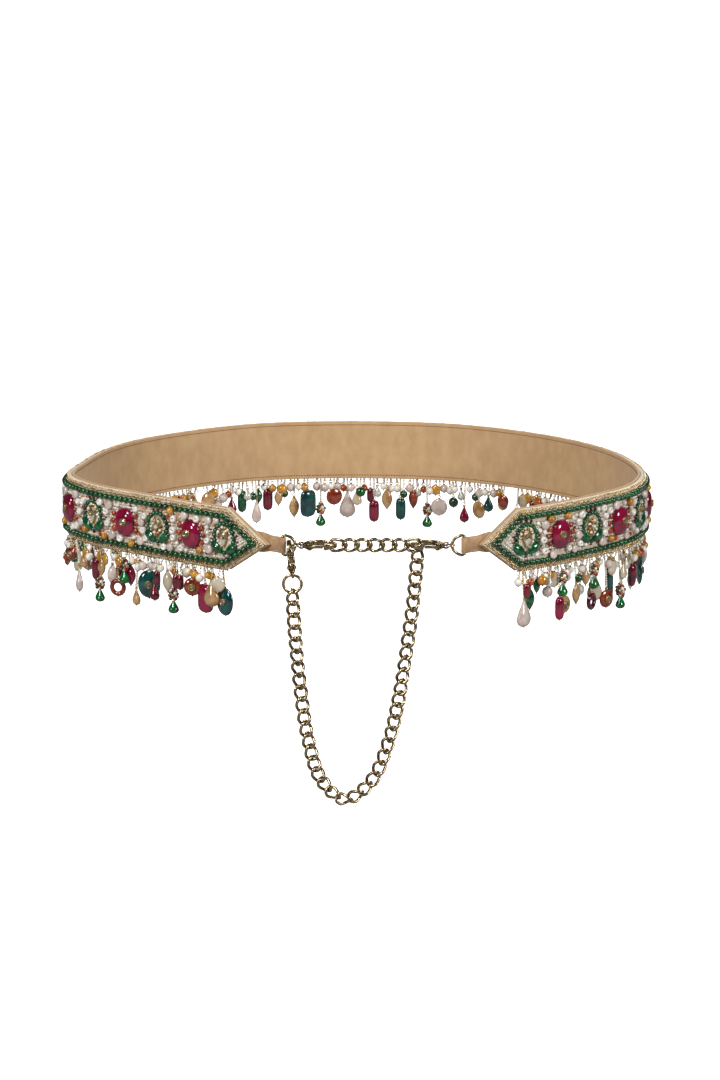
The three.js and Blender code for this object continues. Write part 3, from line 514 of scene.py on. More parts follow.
@dataclass(frozen=True)
class Form:
    """A small closed shape: its points, and its faces of three or four corners."""

    points: Array
    faces: list[tuple[int, ...]]
    smooth: bool = True

    def sized(self, wide: float, deep: float, high: float) -> "Form":
        """The form scaled along its three axes."""
        return replace(self, points=self.points * np.array([wide, deep, high]))

    def moved(self, x: float, y: float, z: float) -> "Form":
        """The form shifted."""
        return replace(self, points=self.points + np.array([x, y, z]))

    def turned(self, matrix: Array) -> "Form":
        """The form turned by a rotation, whose columns are its new axes."""
        return replace(self, points=self.points @ matrix.T)


def loft(rings: Sequence[Array], closed: bool = False, smooth: bool = True) -> Form:
    """Joins rings of equal counts; open ends are closed by a fan.

    Args:
        rings: Point rings in order, turning to the left about the way that they go.
        closed: True if the last ring joins the first.
        smooth: False for facets.

    Returns:
        The form.
    """
    count = len(rings[0])
    faces: list[tuple[int, ...]] = []
    last = len(rings) if closed else len(rings) - 1
    for i in range(last):
        j = (i + 1) % len(rings)
        for k in range(count):
            n = (k + 1) % count
            faces.append((i * count + k, i * count + n, j * count + n, j * count + k))
    points = list(rings)
    if not closed:
        low, high = len(rings) * count, len(rings) * count + 1
        points += [rings[0].mean(0)[None], rings[-1].mean(0)[None]]
        end = (len(rings) - 1) * count
        for k in range(count):
            n = (k + 1) % count
            faces.append((low, n, k))
            faces.append((high, end + k, end + n))
    return Form(np.concatenate(points), faces, smooth)


def lathe(profile: Sequence[Pair], sides: int, smooth: bool = True) -> Form:
    """A form turned about z.

    Args:
        profile: Rows of height and radius, lowest first.
        sides: How many sides it has.
        smooth: False for facets.

    Returns:
        The form.
    """
    turn = around(sides)
    circle = np.stack([np.cos(turn), np.sin(turn)], 1)
    rings = [np.column_stack([circle * max(radius, 1e-3), np.full(sides, z)]) for z, radius in profile]
    return loft(rings, smooth=smooth)


def ball(sides: int, rings: int) -> Form:
    """A round bead of radius one, with sides round its hole and rings along it."""
    lean = [pi * (i + 0.6) / (rings + 0.2) - pi / 2 for i in range(rings)]
    return lathe([(sin(a), cos(a)) for a in lean], sides)


def raised(x: Array, y: Array, rows: Sequence[Pair]) -> Form:
    """A stone on an outline, through rows of height and share of the outline's size."""
    return loft([np.stack([x * share, y * share, np.full(len(x), z)], 1) for z, share in rows])


def bulged(values: Array, power: float) -> Array:
    """Values to a power, with their signs kept."""
    return np.sign(values) * np.abs(values) ** power


def hoop(radius: float, wire: float, steps: int, sides: int) -> Form:
    """A ring of round wire in the x y plane.

    Args:
        radius: To the wire's middle.
        wire: The wire's own radius.
        steps: Round the ring.
        sides: Round the wire.

    Returns:
        The form.
    """
    section = around(sides)
    reach, rise = radius + wire * np.cos(section), wire * np.sin(section)
    rings = [np.stack([reach * cos(turn), reach * sin(turn), rise], 1) for turn in around(steps)]
    return loft([ring[::-1] for ring in rings], closed=True)


def rope(points: Array, radius: float, sides: int, middle: Array | None = None) -> Form:
    """Round wire along points: a closed loop about a middle, or an open length.

    Args:
        points: The wire's line.
        radius: Its own radius.
        sides: Its sides.
        middle: What a closed loop goes round, or None for an open length.

    Returns:
        The form.
    """
    closed = middle is not None
    along = np.roll(points, -1, 0) - np.roll(points, 1, 0) if closed else np.gradient(points, axis=0)
    along /= np.linalg.norm(along, axis=1)[:, None]
    guide = points - middle if closed else np.tile([0.31, 0.95, 0.05], (len(points), 1))
    out = guide - along * (guide * along).sum(1)[:, None]
    out /= np.linalg.norm(out, axis=1)[:, None]
    turn = around(sides)[:, None]
    frames = zip(points, out, np.cross(along, out))
    rings = [p + radius * (np.cos(turn) * o + np.sin(turn) * s) for p, o, s in frames]
    return loft(rings, closed=closed)


def between(p: Array, q: Array, low: float, high: float, t: float) -> Array:
    """The point at t on the line from p at low to q at high."""
    return p * (high - t) / (high - low) + q * (t - low) / (high - low)


def eased(points: Array, steps: int, closed: bool) -> Array:
    """A smooth line through points.

    Args:
        points: The points to pass through.
        steps: New points to each of the old stretches.
        closed: True if the line joins its own start.

    Returns:
        The finer line.
    """
    count = len(points)
    if closed:
        whole = np.concatenate([points[-1:], points, points[:2]])
    else:
        whole = np.concatenate([2 * points[:1] - points[1:2], points, 2 * points[-1:] - points[-2:-1]])
    made = []
    for i in range(count if closed else count - 1):
        near, knots = whole[i:i + 4], [0.0]
        for first, second in zip(near, near[1:]):
            knots.append(knots[-1] + max(np.linalg.norm(second - first), 1e-9) ** 0.5)
        for t in knots[1] + (knots[2] - knots[1]) * np.arange(steps) / steps:
            ab, bc, cd = (between(near[k], near[k + 1], knots[k], knots[k + 1], t) for k in range(3))
            abc, bcd = (between(ab, bc, knots[0], knots[2], t), between(bc, cd, knots[1], knots[3], t))
            made.append(between(abc, bcd, knots[1], knots[2], t))
    if not closed:
        made.append(points[-1])
    return np.array(made)


def dress(
    name: str, mesh: bpy.types.Mesh, finishes: Sequence[Finish], body: str, replaces: Sequence[str],
) -> bpy.types.Object:
    """Makes a piece of the belt from its mesh.

    Args:
        name: The piece's name.
        mesh: Its mesh in metres.
        finishes: Its finishes, the main one first.
        body: The CAD body that it rides on.
        replaces: CAD nodes that it stands for.

    Returns:
        The Blender object.
    """
    for finish in finishes:
        mesh.materials.append(finish.material())
    made = linked(name, mesh)
    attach(made, body)
    if replaces:
        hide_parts(*replaces)
    LOG.info("%s: %d faces on %s", name, len(mesh.polygons), body)
    return made


class Heap:
    """Small forms gathered into one piece, each with its finish and its own tint."""

    def __init__(self, name: str, seed: int) -> None:
        """Starts an empty piece.

        Args:
            name: The piece's name.
            seed: For the tints.
        """
        self.name = name
        self.chance = np.random.default_rng(seed)
        self.gathered: dict[str, list[Array]] = {}
        self.finishes: list[Finish] = []
        self.count = 0

    def store(self, **rows: Array) -> None:
        """Adds rows to what is gathered under each name."""
        for key, values in rows.items():
            self.gathered.setdefault(key, []).append(values)

    def add(
        self, form: Form, finish: Finish, places: object = (0, 0, 0), axes: Array | None = None,
        scale: object = 1.0,
    ) -> None:
        """Adds a form at one or many places.

        Args:
            form: The form.
            finish: Its finish.
            places: One point or many; the origin for a form that is in place.
            axes: One or many rotations, their columns the form's own axes, or None to leave it unturned.
            scale: A number, or one for each place.
        """
        places = np.atleast_2d(np.asarray(places, float))
        many = len(places)
        if finish not in self.finishes:
            self.finishes.append(finish)
        axes = np.broadcast_to(np.eye(3) if axes is None else np.asarray(axes), (many, 3, 3))
        size = np.broadcast_to(np.asarray(scale, float), (many,))
        made = np.einsum("kij,nj->kni", axes, form.points) * size[:, None, None] + places[:, None, :]
        self.store(points=made.reshape(-1, 3), tints=np.repeat(self.chance.random(many), len(form.points)))
        shift = self.count + np.arange(many) * len(form.points)
        for width in sorted({len(f) for f in form.faces}):
            rows = np.array([f for f in form.faces if len(f) == width])
            total = many * len(rows)
            self.store(
                corners=(rows[None] + shift[:, None, None]).reshape(-1), sizes=np.full(total, width),
                slots=np.full(total, self.finishes.index(finish)), smooth=np.full(total, form.smooth),
            )
        self.count += many * len(form.points)

    def build(self, body: str, replaces: Sequence[str] = ()) -> None:
        """Makes the piece, in metres, riding on a body.

        Args:
            body: The CAD body.
            replaces: CAD nodes that the piece stands for.
        """
        mesh = bpy.data.meshes.new(self.name)
        whole = {key: np.concatenate(rows) for key, rows in self.gathered.items()}
        sizes = whole["sizes"]
        mesh.vertices.add(self.count)
        mesh.loops.add(len(whole["corners"]))
        mesh.polygons.add(len(sizes))
        for target, key, values, kind in (
            (mesh.vertices, "co", whole["points"] * METRE, np.float32),
            (mesh.loops, "vertex_index", whole["corners"], np.int32),
            (mesh.polygons, "loop_start", np.cumsum(sizes) - sizes, np.int32),
            (mesh.polygons, "material_index", whole["slots"], np.int32),
            (mesh.polygons, "use_smooth", whole["smooth"], bool),
        ):
            target.foreach_set(key, values.astype(kind).ravel())
        tint = mesh.attributes.new("tint", "FLOAT", "POINT")
        tint.data.foreach_set("value", whole["tints"].astype(np.float32))
        mesh.update(calc_edges=True)
        mesh.validate()
        dress(self.name, mesh, self.finishes, body, replaces)


@dataclass
class BandPath:
    """The band's line round the waist, read from the lining's own solid."""

    half: float = 17.0
    left_chevron: float = 25.5
    right_chevron: float = 22.0
    lining_wall: float = 1.2
    gap: float = 0.15
    mark: float = 0.5
    spare: int = 20
    at: Array = field(init=False)
    line: Array = field(init=False)
    outward: Array = field(init=False)
    length: float = field(init=False)

    def __post_init__(self) -> None:
        """Finds the line from the top edge's corners and the two tips."""
        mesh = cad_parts["lining"].data
        corners = np.array([v.co for v in mesh.vertices], float) / METRE
        corners = np.unique(np.round(corners, 2), axis=0)
        middle = np.array([0.0, 30.0])
        top = corners[corners[:, 2] > self.half - 0.6]
        order = np.argsort(np.arctan2(top[:, 0], top[:, 1] - middle[1]))
        groups: list[list[Array]] = []
        for corner in top[order]:
            if groups and np.linalg.norm(corner[:2] - groups[-1][-1][:2]) < 3.0:
                groups[-1].append(corner)
            else:
                groups.append([corner])
        tips = corners[(np.abs(corners[:, 2]) < 1.5) & (corners[:, 1] < -60)]
        left = list(tips[tips[:, 0] < 0])
        right = list(tips[tips[:, 0] > 0])
        stations = [self.reference(left, 0.0, middle)]
        stations += [self.reference(group, self.half, middle) for group in groups]
        stations.append(self.reference(right, 0.0, middle))
        fine = eased(np.array(stations), 10, closed=False)
        run = np.concatenate([[0.0], np.cumsum(np.hypot(*np.diff(fine[:, :2], axis=0).T))])
        self.length = float(run[-1])
        marks = np.arange(0, self.length, self.mark)
        even = np.stack([np.interp(marks, run, fine[:, k]) for k in range(3)], 1)
        beyond = np.arange(1, self.spare + 1)
        start = even[0] + (even[0] - even[1]) * beyond[::-1, None]
        stop = even[-1] + (even[-1] - even[-2]) * beyond[:, None]
        start[:, 2] = even[0, 2]
        stop[:, 2] = even[-1, 2]
        self.line = np.concatenate([start, even, stop])
        self.at = np.concatenate([marks[0] - self.mark * beyond[::-1], marks, marks[-1] + self.mark * beyond])
        along = np.gradient(self.line[:, :2], axis=0)
        wide = np.ones(13) / 13
        padded = np.pad(along, ((6, 6), (0, 0)), mode="edge")
        along = np.stack([np.convolve(padded[:, k], wide, mode="valid") for k in range(2)], 1)
        along /= np.linalg.norm(along, axis=1)[:, None]
        self.outward = np.stack([-along[:, 1], along[:, 0]], 1)

    def reference(self, corners: list[Array], drop: float, middle: Array) -> Array:
        """The reference surface's point from a wall's inner and outer corners.

        Args:
            corners: The corners at one station.
            drop: How far they lie above the band's middle.
            middle: The middle of the opening in plan.

        Returns:
            The point in plan, with the band's lift as its third number.
        """
        reach = sorted(corners, key=lambda corner: np.linalg.norm(corner[:2] - middle))
        inner, outer = reach[0], reach[-1]
        step = (outer[:2] - inner[:2]) * self.gap / self.lining_wall
        return np.array([*(outer[:2] + step), outer[2] - drop])

    def place(self, along: object, height: object, out: object) -> Array:
        """Points by length along the band, height and distance outward.

        Args:
            along: Millimetres from the left tip.
            height: From the band's middle.
            out: From the reference surface.

        Returns:
            One row for each point.
        """
        given = (np.atleast_1d(np.asarray(values, float)) for values in (along, height, out))
        along, height, out = np.broadcast_arrays(*given)
        x, y, lift = (np.interp(along, self.at, self.line[:, k]) for k in range(3))
        nx, ny = (np.interp(along, self.at, self.outward[:, k]) for k in range(2))
        return np.stack([x + nx * out, y + ny * out, lift + height], -1)

    def axes(self, along: object, turn: object = 0.0) -> Array:
        """The band's own axes: to the viewer's right, up and outward, as columns.

        Args:
            along: Millimetres from the left tip.
            turn: A turn about outward, in radians, to the left.

        Returns:
            One three by three matrix for each length.
        """
        along = np.atleast_1d(np.asarray(along, float))
        turn = np.broadcast_to(np.asarray(turn, float), along.shape)
        nx, ny = (np.interp(along, self.at, self.outward[:, k]) for k in range(2))
        zero = np.zeros_like(nx)
        out = np.stack([nx, ny, zero], -1)
        right = np.stack([-ny, nx, zero], -1)
        up = np.stack([zero, zero, zero + 1], -1)
        c, s = np.cos(turn)[:, None], np.sin(turn)[:, None]
        return np.stack([right * c + up * s, up * c - right * s, out], -1)

    def beaded(self, along: object, turn: object = 0.0) -> Array:
        """The axes at lengths along, turned so that a bead's hole, its z, lies along its row."""
        return self.axes(along, turn)[:, :, [1, 2, 0]]

    def locate(self, point: Array) -> float:
        """The length along the band nearest to a point in plan."""
        away = np.hypot(self.line[:, 0] - point[0], self.line[:, 1] - point[1])
        return float(self.at[int(np.argmin(away))])

    def tip(self, inset: float, chevron: float) -> float:
        """How far along the band an inset line's tip lies from the tip of a chevron of some length."""
        return inset * hypot(1, chevron / self.half)

    def route(self, inset: float, pitch: float) -> tuple[Array, Array, Array]:
        """Even steps round the band at an inset from its whole edge, chevrons too.

        Args:
            inset: From the band's edge.
            pitch: From one step to the next.

        Returns:
            The lengths along, the heights and the row's turns.
        """
        height = self.half - inset
        first = self.tip(inset, self.left_chevron)
        last = self.length - self.tip(inset, self.right_chevron)
        near = first + height * self.left_chevron / self.half
        far = last - height * self.right_chevron / self.half
        corners = np.array([
            (first, 0), (near, height), (far, height), (last, 0), (far, -height), (near, -height), (first, 0),
        ])
        spans = np.hypot(*np.diff(corners, axis=0).T)
        run = np.concatenate([[0], np.cumsum(spans)])
        steps = np.arange(round(run[-1] / pitch)) * run[-1] / round(run[-1] / pitch)
        along = np.interp(steps, run, corners[:, 0])
        rise = np.interp(steps, run, corners[:, 1])
        leg = np.clip(np.searchsorted(run, steps, side="right") - 1, 0, len(spans) - 1)
        way = np.diff(corners, axis=0)[leg]
        return along, rise, np.arctan2(way[:, 1], -way[:, 0])


@dataclass
class Slab:
    """A layer of the band with pointed ends and rounded edges."""

    path: BandPath
    inset: float
    back: float
    front: float
    seat: float
    round: float
    step: float = 2.6

    def build(self, name: str, finish: Finish, node: str) -> bpy.types.Object:
        """Builds the closed layer with its own map in metres.

        Args:
            name: The piece's name.
            finish: Its finish.
            node: The CAD node that it stands for.

        Returns:
            The Blender object.
        """
        path, half = self.path, self.path.half - self.inset
        near = np.array([0, 0.12, 0.35, 0.7, 1.1, 1.8]) * self.round
        rise = half - np.concatenate([near, np.arange(near[-1] + 1.6, half, 1.9)])
        heights = np.unique(np.concatenate([-rise, rise, [0.0]]))
        ends = []
        for chevron in (path.left_chevron, path.right_chevron):
            tip, slope = path.tip(self.inset, chevron), path.half / chevron
            inner = tip + half / slope + 6
            share = np.concatenate([near * 1.5, np.arange(near[-1] * 1.5 + 1.8, inner, 2.2)]) / inner
            ends.append((tip, slope, inner, share[share < 0.98]))
        (tip0, slope0, inner0, share0), (tip1, slope1, inner1, share1) = ends
        count = len(np.arange(inner0, path.length - inner1, self.step))
        inside = np.linspace(inner0, path.length - inner1, count)
        first, last = tip0 + np.abs(heights) / slope0, tip1 + np.abs(heights) / slope1
        left = first + (inner0 - first) * share0[:, None]
        right = path.length - (last + (inner1 - last) * share1[:, None])
        along = np.concatenate([left, np.tile(inside[:, None], len(heights)), right[::-1]])
        rise = np.broadcast_to(heights, along.shape)
        away = half - np.abs(rise)
        for (tip, slope, _, _), run in zip(ends, (along, path.length - along)):
            lean = slope / hypot(1, slope)
            away = np.minimum(away, (run - tip - np.abs(rise) / slope) * lean)
        crown = np.sqrt(np.clip(1 - (1 - np.clip(away / self.round, 0, 1)) ** 2, 0, 1))
        outs = [self.seat + (face - self.seat) * crown for face in (self.front, self.back)]
        sheets = [path.place(along.ravel(), rise.ravel(), out.ravel()) for out in outs]
        points = np.concatenate(sheets) * METRE
        index = np.arange(along.size).reshape(along.shape)
        edge = np.zeros(along.shape, bool)
        edge[[0, -1], :] = True
        edge[:, [0, -1]] = True
        under = np.where(edge, index, index + along.size)
        front = np.stack([index[:-1, :-1], index[:-1, 1:], index[1:, 1:], index[1:, :-1]], -1)
        behind = np.stack([under[:-1, :-1], under[1:, :-1], under[1:, 1:], under[:-1, 1:]], -1)
        mesh = bpy.data.meshes.new(name)
        mesh.from_pydata(points.tolist(), [], np.stack([front, behind], 2).reshape(-1, 4).tolist())
        flat = np.tile(np.stack([along.ravel(), rise.ravel()], 1), (2, 1)) * METRE
        layer = mesh.uv_layers.new(name="cloth")
        corner = np.zeros(len(mesh.loops), np.int32)
        mesh.loops.foreach_get("vertex_index", corner)
        layer.data.foreach_set("uv", flat[corner].astype(np.float32).ravel())
        mesh.polygons.foreach_set("use_smooth", np.ones(len(mesh.polygons), bool))
        tool = bmesh.new()
        tool.from_mesh(mesh)
        bmesh.ops.delete(tool, geom=[v for v in tool.verts if not v.link_faces], context="VERTS")
        bmesh.ops.recalc_face_normals(tool, faces=tool.faces)
        tool.to_mesh(mesh)
        tool.free()
        return dress(name, mesh, [finish], "belt", [node])


@dataclass
class SuedeLining:
    """The suede wall against the body, and the thread of its seam."""

    path: BandPath
    seam_inset: float = 2.1
    stitch_pitch: float = 1.55
    stitch_out: float = -1.38

    def build(self) -> None:
        """Builds the wall and its stitches."""
        wall = Slab(self.path, inset=0.0, back=-1.35, front=-0.15, seat=-0.75, round=0.45)
        wall.build("suede_lining", SUEDE, "lining")
        stitch = lathe([(-0.5, 0.08), (-0.32, 0.25), (0.32, 0.25), (0.5, 0.08)], 4)
        heap = Heap("lining_seam", 11)
        along, rise, turn = self.path.route(self.seam_inset, self.stitch_pitch)
        places = self.path.place(along, rise, self.stitch_out)
        heap.add(stitch, SEAM_THREAD, places, self.path.beaded(along, turn))
        heap.build("belt")


@dataclass
class FacePanel:
    """The padded cream cloth that carries the embroidery."""

    path: BandPath

    def build(self) -> None:
        """Builds the pad."""
        pad = Slab(self.path, inset=0.6, back=0.15, front=2.75, seat=0.15, round=1.5)
        pad.build("padded_face", CREAM_CLOTH, "face_panel")


@dataclass
class BorderRows:
    """The rows of beads that follow the band's edge and its chevrons."""

    path: BandPath
    surface: float = 2.75
    green_inset: float = 4.5
    green_pitch: float = 3.42
    green_radius: float = 1.72
    white_insets: Pair = (6.95, 8.55)
    white_pitch: float = 1.62
    white_radius: float = 0.8

    def build(self) -> None:
        """Builds the green row and the seed rows beside it."""
        path, chance = self.path, np.random.default_rng(21)

        def sway(reach: float) -> Array:
            """How far each bead of the present row sits off its line."""
            return reach * (chance.random(len(along)) - 0.5)

        along, rise, turn = path.route(self.green_inset, self.green_pitch)
        green = Heap("green_row", 22)
        scale = self.green_radius * (1 + sway(0.05))
        places = path.place(along, rise + sway(0.25), self.surface + 1.05)
        green.add(ball(10, 6), GREEN, places, path.beaded(along, turn), scale)
        green.build("belt", ["green_bead_row"])
        seed = ball(6, 3)
        gold = Heap("gold_seed_rows", 23)
        for inset, size, share in ((0.95, 0.6, 0.3), (2.15, 0.68, 0.88)):
            along, rise, turn = path.route(inset, size * 2)
            rise = rise + sway(0.15)
            out = self.surface + 0.25 - 1.1 * max(0.0, 1.6 - inset)
            axes = path.beaded(along, turn)
            pick = chance.random(len(along)) < share
            for chosen, finish in ((pick, SEED_GOLD), (~pick, SEED_CREAM)):
                gold.add(seed, finish, path.place(along[chosen], rise[chosen], out), axes[chosen], size)
        gold.build("belt")
        white = Heap("white_seed_row", 24)
        for inset in self.white_insets:
            along, rise, turn = path.route(inset, self.white_pitch)
            ends = (along < path.left_chevron + 9) | (along > path.length - path.right_chevron - 9)
            keep = ends | (np.sin(along * 0.19 + 2.1 * np.sign(rise) + inset) > 0.25)
            along, rise, turn = along[keep], rise[keep], turn[keep]
            places = path.place(along, rise, self.surface + 0.35)
            white.add(seed, SEED_WHITE, places, path.beaded(along, turn), self.white_radius)
        white.build("belt")


def at(place: Array, axes: Array, x: float, y: float, z: float) -> Array:
    """The point that lies x, y and z away from a place along its own axes."""
    return place + axes @ np.array([x, y, z])


def box(node: str) -> Array:
    """The lowest and highest corners of a CAD node at rest, in millimetres."""
    return np.array([tuple(corner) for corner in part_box(node)]) / METRE


@dataclass
class Spot:
    """A place on the field that is taken: its length along, height, half width and half height."""

    along: float
    height: float
    wide: float
    high: float
    flanked: bool = False

    def clear(self, along: Array, height: Array, gap: float) -> Array:
        """Which points, at lengths along and heights, stay clear of the spot by a gap."""
        across, up = (along - self.along) / (self.wide + gap), (height - self.height) / (self.high + gap)
        return across ** 2 + up ** 2 > 1


@dataclass
class Cabochon:
    """A magenta cabochon with a small stone set on it."""

    width: float = 12.5
    height: float = 16.0
    rise: float = 4.0
    fullness: float = 2.5

    def dome(self) -> Form:
        """The stone's own form, its flat back on z 0.

        Returns:
            The form.
        """
        turn = around(28)
        x = bulged(np.cos(turn), 2 / self.fullness) * self.width / 2
        y = bulged(np.sin(turn), 2 / self.fullness) * self.height / 2
        shares = (0.93, 0.99, 1.0, 0.955, 0.85, 0.68, 0.42, 0.15)
        rises = (0.0, 0.12, 0.28, 0.5, 0.72, 0.88, 0.97, 1.0)
        return raised(x, y, [(rise * self.rise, share) for rise, share in zip(rises, shares)])

    def build(self, heap: Heap, place: Array, axes: Array, side: float) -> None:
        """Adds the stone and its setting to a piece.

        Args:
            heap: The piece.
            place: The middle of the stone's back.
            axes: The band's axes there.
            side: -1 or 1, the way that the set stone sits off the middle.
        """
        heap.add(self.dome(), RUBY, place, axes)
        set_stone(heap, at(place, axes, side * 0.9, 0.7, self.rise * 0.93), axes, 2.25)


def set_stone(heap: Heap, place: Array, axes: Array, radius: float) -> None:
    """A round mirror stone in a gilt collar.

    Args:
        heap: The piece that it joins.
        place: The middle of its back.
        axes: Its axes, the third one outward.
        radius: The collar's outside.
    """
    collar = lathe([(-0.3, 0.86), (0.28, 0.98), (0.42, 0.96), (0.5, 0.84), (0.42, 0.72), (0.2, 0.7)], 14)
    cut = lathe([(0.1, 0.7), (0.36, 0.68), (0.56, 0.4), (0.6, 0.1)], 10, smooth=False)
    heap.add(collar, GILT, place, axes, radius)
    heap.add(cut, MIRROR, place, axes, radius)


class Heart(Enum):
    """What sits in the middle of a flower motif."""

    PEAR = "pear"
    SPRAY = "spray"


@dataclass
class FlowerMotif:
    """A wreath of green beads round a set flower, with two leaves in a V below."""

    heart: Heart
    width: float = 12.6
    height: float = 15.0
    beads: int = 13
    open_by: float = 108.0
    leaf_lean: float = 37.0

    def leaf(self) -> Form:
        """A pointed leaf stone along x, its back on z 0."""
        x, y = np.cos(around(20)) * 4.6, bulged(np.sin(around(20)), 1.25) * 2.7
        return raised(x, y, ((0.0, 0.9), (0.7, 1.0), (1.3, 0.84), (1.8, 0.52), (2.05, 0.14)))

    def pear(self, size: float, low: float, high: float) -> Form:
        """A pear shape that points down, flat behind and rounded in front.

        Args:
            size: Its size as a share.
            low: Its back.
            high: Its front.

        Returns:
            The form.
        """
        turn = around(24)
        x = np.cos(turn) * 3.0 * (0.58 + 0.42 * np.sin(turn)) * size
        y = (np.sin(turn) * 4.3 - 0.3) * size
        rows = ((0.0, 0.94), (0.4, 1.0), (0.8, 0.9), (1.0, 0.7))
        return raised(x, y, [(low + rise * (high - low), share) for rise, share in rows])

    def centre(self, heap: Heap, place: Array, axes: Array) -> None:
        """Adds the flower's middle.

        Args:
            heap: The piece.
            place: The middle of the motif on the cloth.
            axes: The band's axes there.
        """
        bead, up = ball(8, 5), axes[:, 2]
        middle = at(place, axes, 0, 0.9, 0.1)
        if self.heart is Heart.PEAR:
            heap.add(self.pear(1.22, 0.0, 1.3), GILT, middle, axes)
            heap.add(self.pear(1.02, 0.9, 1.9), CRYSTAL, middle, axes)
            set_stone(heap, at(middle, axes, 0, 1.5, 1.3), axes, 2.2)
            for k in range(8):
                turn = radians(-14 + k * 208 / 7)
                spot = at(middle, axes, 3.9 * cos(turn), 1.5 + 4.3 * sin(turn), 1.0)
                heap.add(bead, SEED_GOLD if k % 2 else PEARL, spot, axes)
            return
        bugle = lathe([(-1.5, 0.34), (-1.25, 0.58), (1.25, 0.58), (1.5, 0.34)], 8)
        for k in range(16):
            turn = k * SPIRAL
            out = np.array([cos(turn), 1.25 * sin(turn), 0])
            flat = axes @ (out / np.linalg.norm(out))
            lean = flat * cos(0.5) + up * sin(0.5) * (1 - k / 18)
            lean /= np.linalg.norm(lean)
            side = np.cross(up, lean)
            side /= np.linalg.norm(side)
            foot = middle + axes @ (out * (0.8 + 2.9 * (k / 15))) + up * (2.0 - k * 0.07)
            turned = np.stack([side, np.cross(lean, side), lean], -1)
            heap.add(bugle, GILT if k % 3 else SEED_GOLD, foot, turned)
        heap.add(bead, CRYSTAL, middle + up * 2.5, axes, 1.4)
        for k in range(8):
            turn = k * tau / 8 + 0.3
            spot = at(middle, axes, 2.7 * cos(turn), 3.5 * sin(turn), 1.9)
            heap.add(bead, PEARL if k % 2 else SEED_GOLD, spot, axes, 0.85)

    def build(self, heap: Heap, place: Array, axes: Array) -> None:
        """Adds the motif to a piece.

        Args:
            heap: The piece.
            place: The middle of the motif on the cloth.
            axes: The band's axes there.
        """
        bead = ball(10, 6)

        def sew(finish: Finish, x: float, y: float, z: float, size: float) -> None:
            """Adds a bead at a point of the motif."""
            heap.add(bead, finish, at(place, axes, x, y, z), axes, size)

        gap = radians(self.open_by) / 2
        for turn in np.linspace(-pi / 2 + gap, 1.5 * pi - gap, self.beads):
            x, y = self.width / 2 * cos(turn), 0.9 + self.height / 2 * sin(turn)
            sew(GREEN, x, y, 0.9, 1.5)
        self.centre(heap, place, axes)
        for k in range(20):
            turn = pi / 2 + (k + 0.5) * tau / 20
            x, y = 4.7 * cos(turn), 1.3 + 6.0 * sin(turn)
            if y > -4.4:
                sew(SEED_WHITE if k % 4 else SEED_CREAM, x, y, 0.5, 0.92)
        c, s = cos(radians(self.leaf_lean)), sin(radians(self.leaf_lean))
        for side in (-1, 1):
            spin = np.array([[side * c, -s, 0], [s, side * c, 0], [0, 0, 1]])
            heap.add(self.leaf(), BOTTLE, at(place, axes, side * 4.9, -4.8, 0.7), axes @ spin)
        sew(GREEN, 0, -7.3, 0.9, 1.3)
        sew(SEED_RED, 0, -9.0, 0.6, 0.8)
        for x, y in ((-3.2, 9.9), (0, 10.3), (3.2, 9.9), (-7.9, 2.6), (7.9, 2.6), (-8.2, -0.6), (8.2, -0.6)):
            sew(SEED_RED, x, y, 0.55, 0.85)


@dataclass
class Motifs:
    """Every flower and cabochon, each as a piece that stands for its own solid."""

    path: BandPath
    surface: float = 2.72

    def build(self) -> list[Spot]:
        """Builds the motifs where their solids are.

        Returns:
            The spots of the field that they take.
        """
        spots = []
        names = sorted(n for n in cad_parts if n.startswith(("flower_", "cabochon_")))
        for number, name in enumerate(names):
            along = self.path.locate(box(name).mean(0))
            place = self.path.place(along, 0.0, self.surface)[0]
            axes = self.path.axes(along)[0]
            heap = Heap(name.replace("_", "_motif_"), 100 + number)
            if name.startswith("flower"):
                FlowerMotif(Heart.SPRAY if number % 2 else Heart.PEAR).build(heap, place, axes)
                spots.append(Spot(along, 0.4, wide=7.9, high=8.8))
            else:
                Cabochon().build(heap, place, axes, side=1.0 if number % 3 else -1.0)
                spots.append(Spot(along, 0.0, wide=6.3, high=8.1, flanked=True))
            heap.build("belt", [name])
        return spots


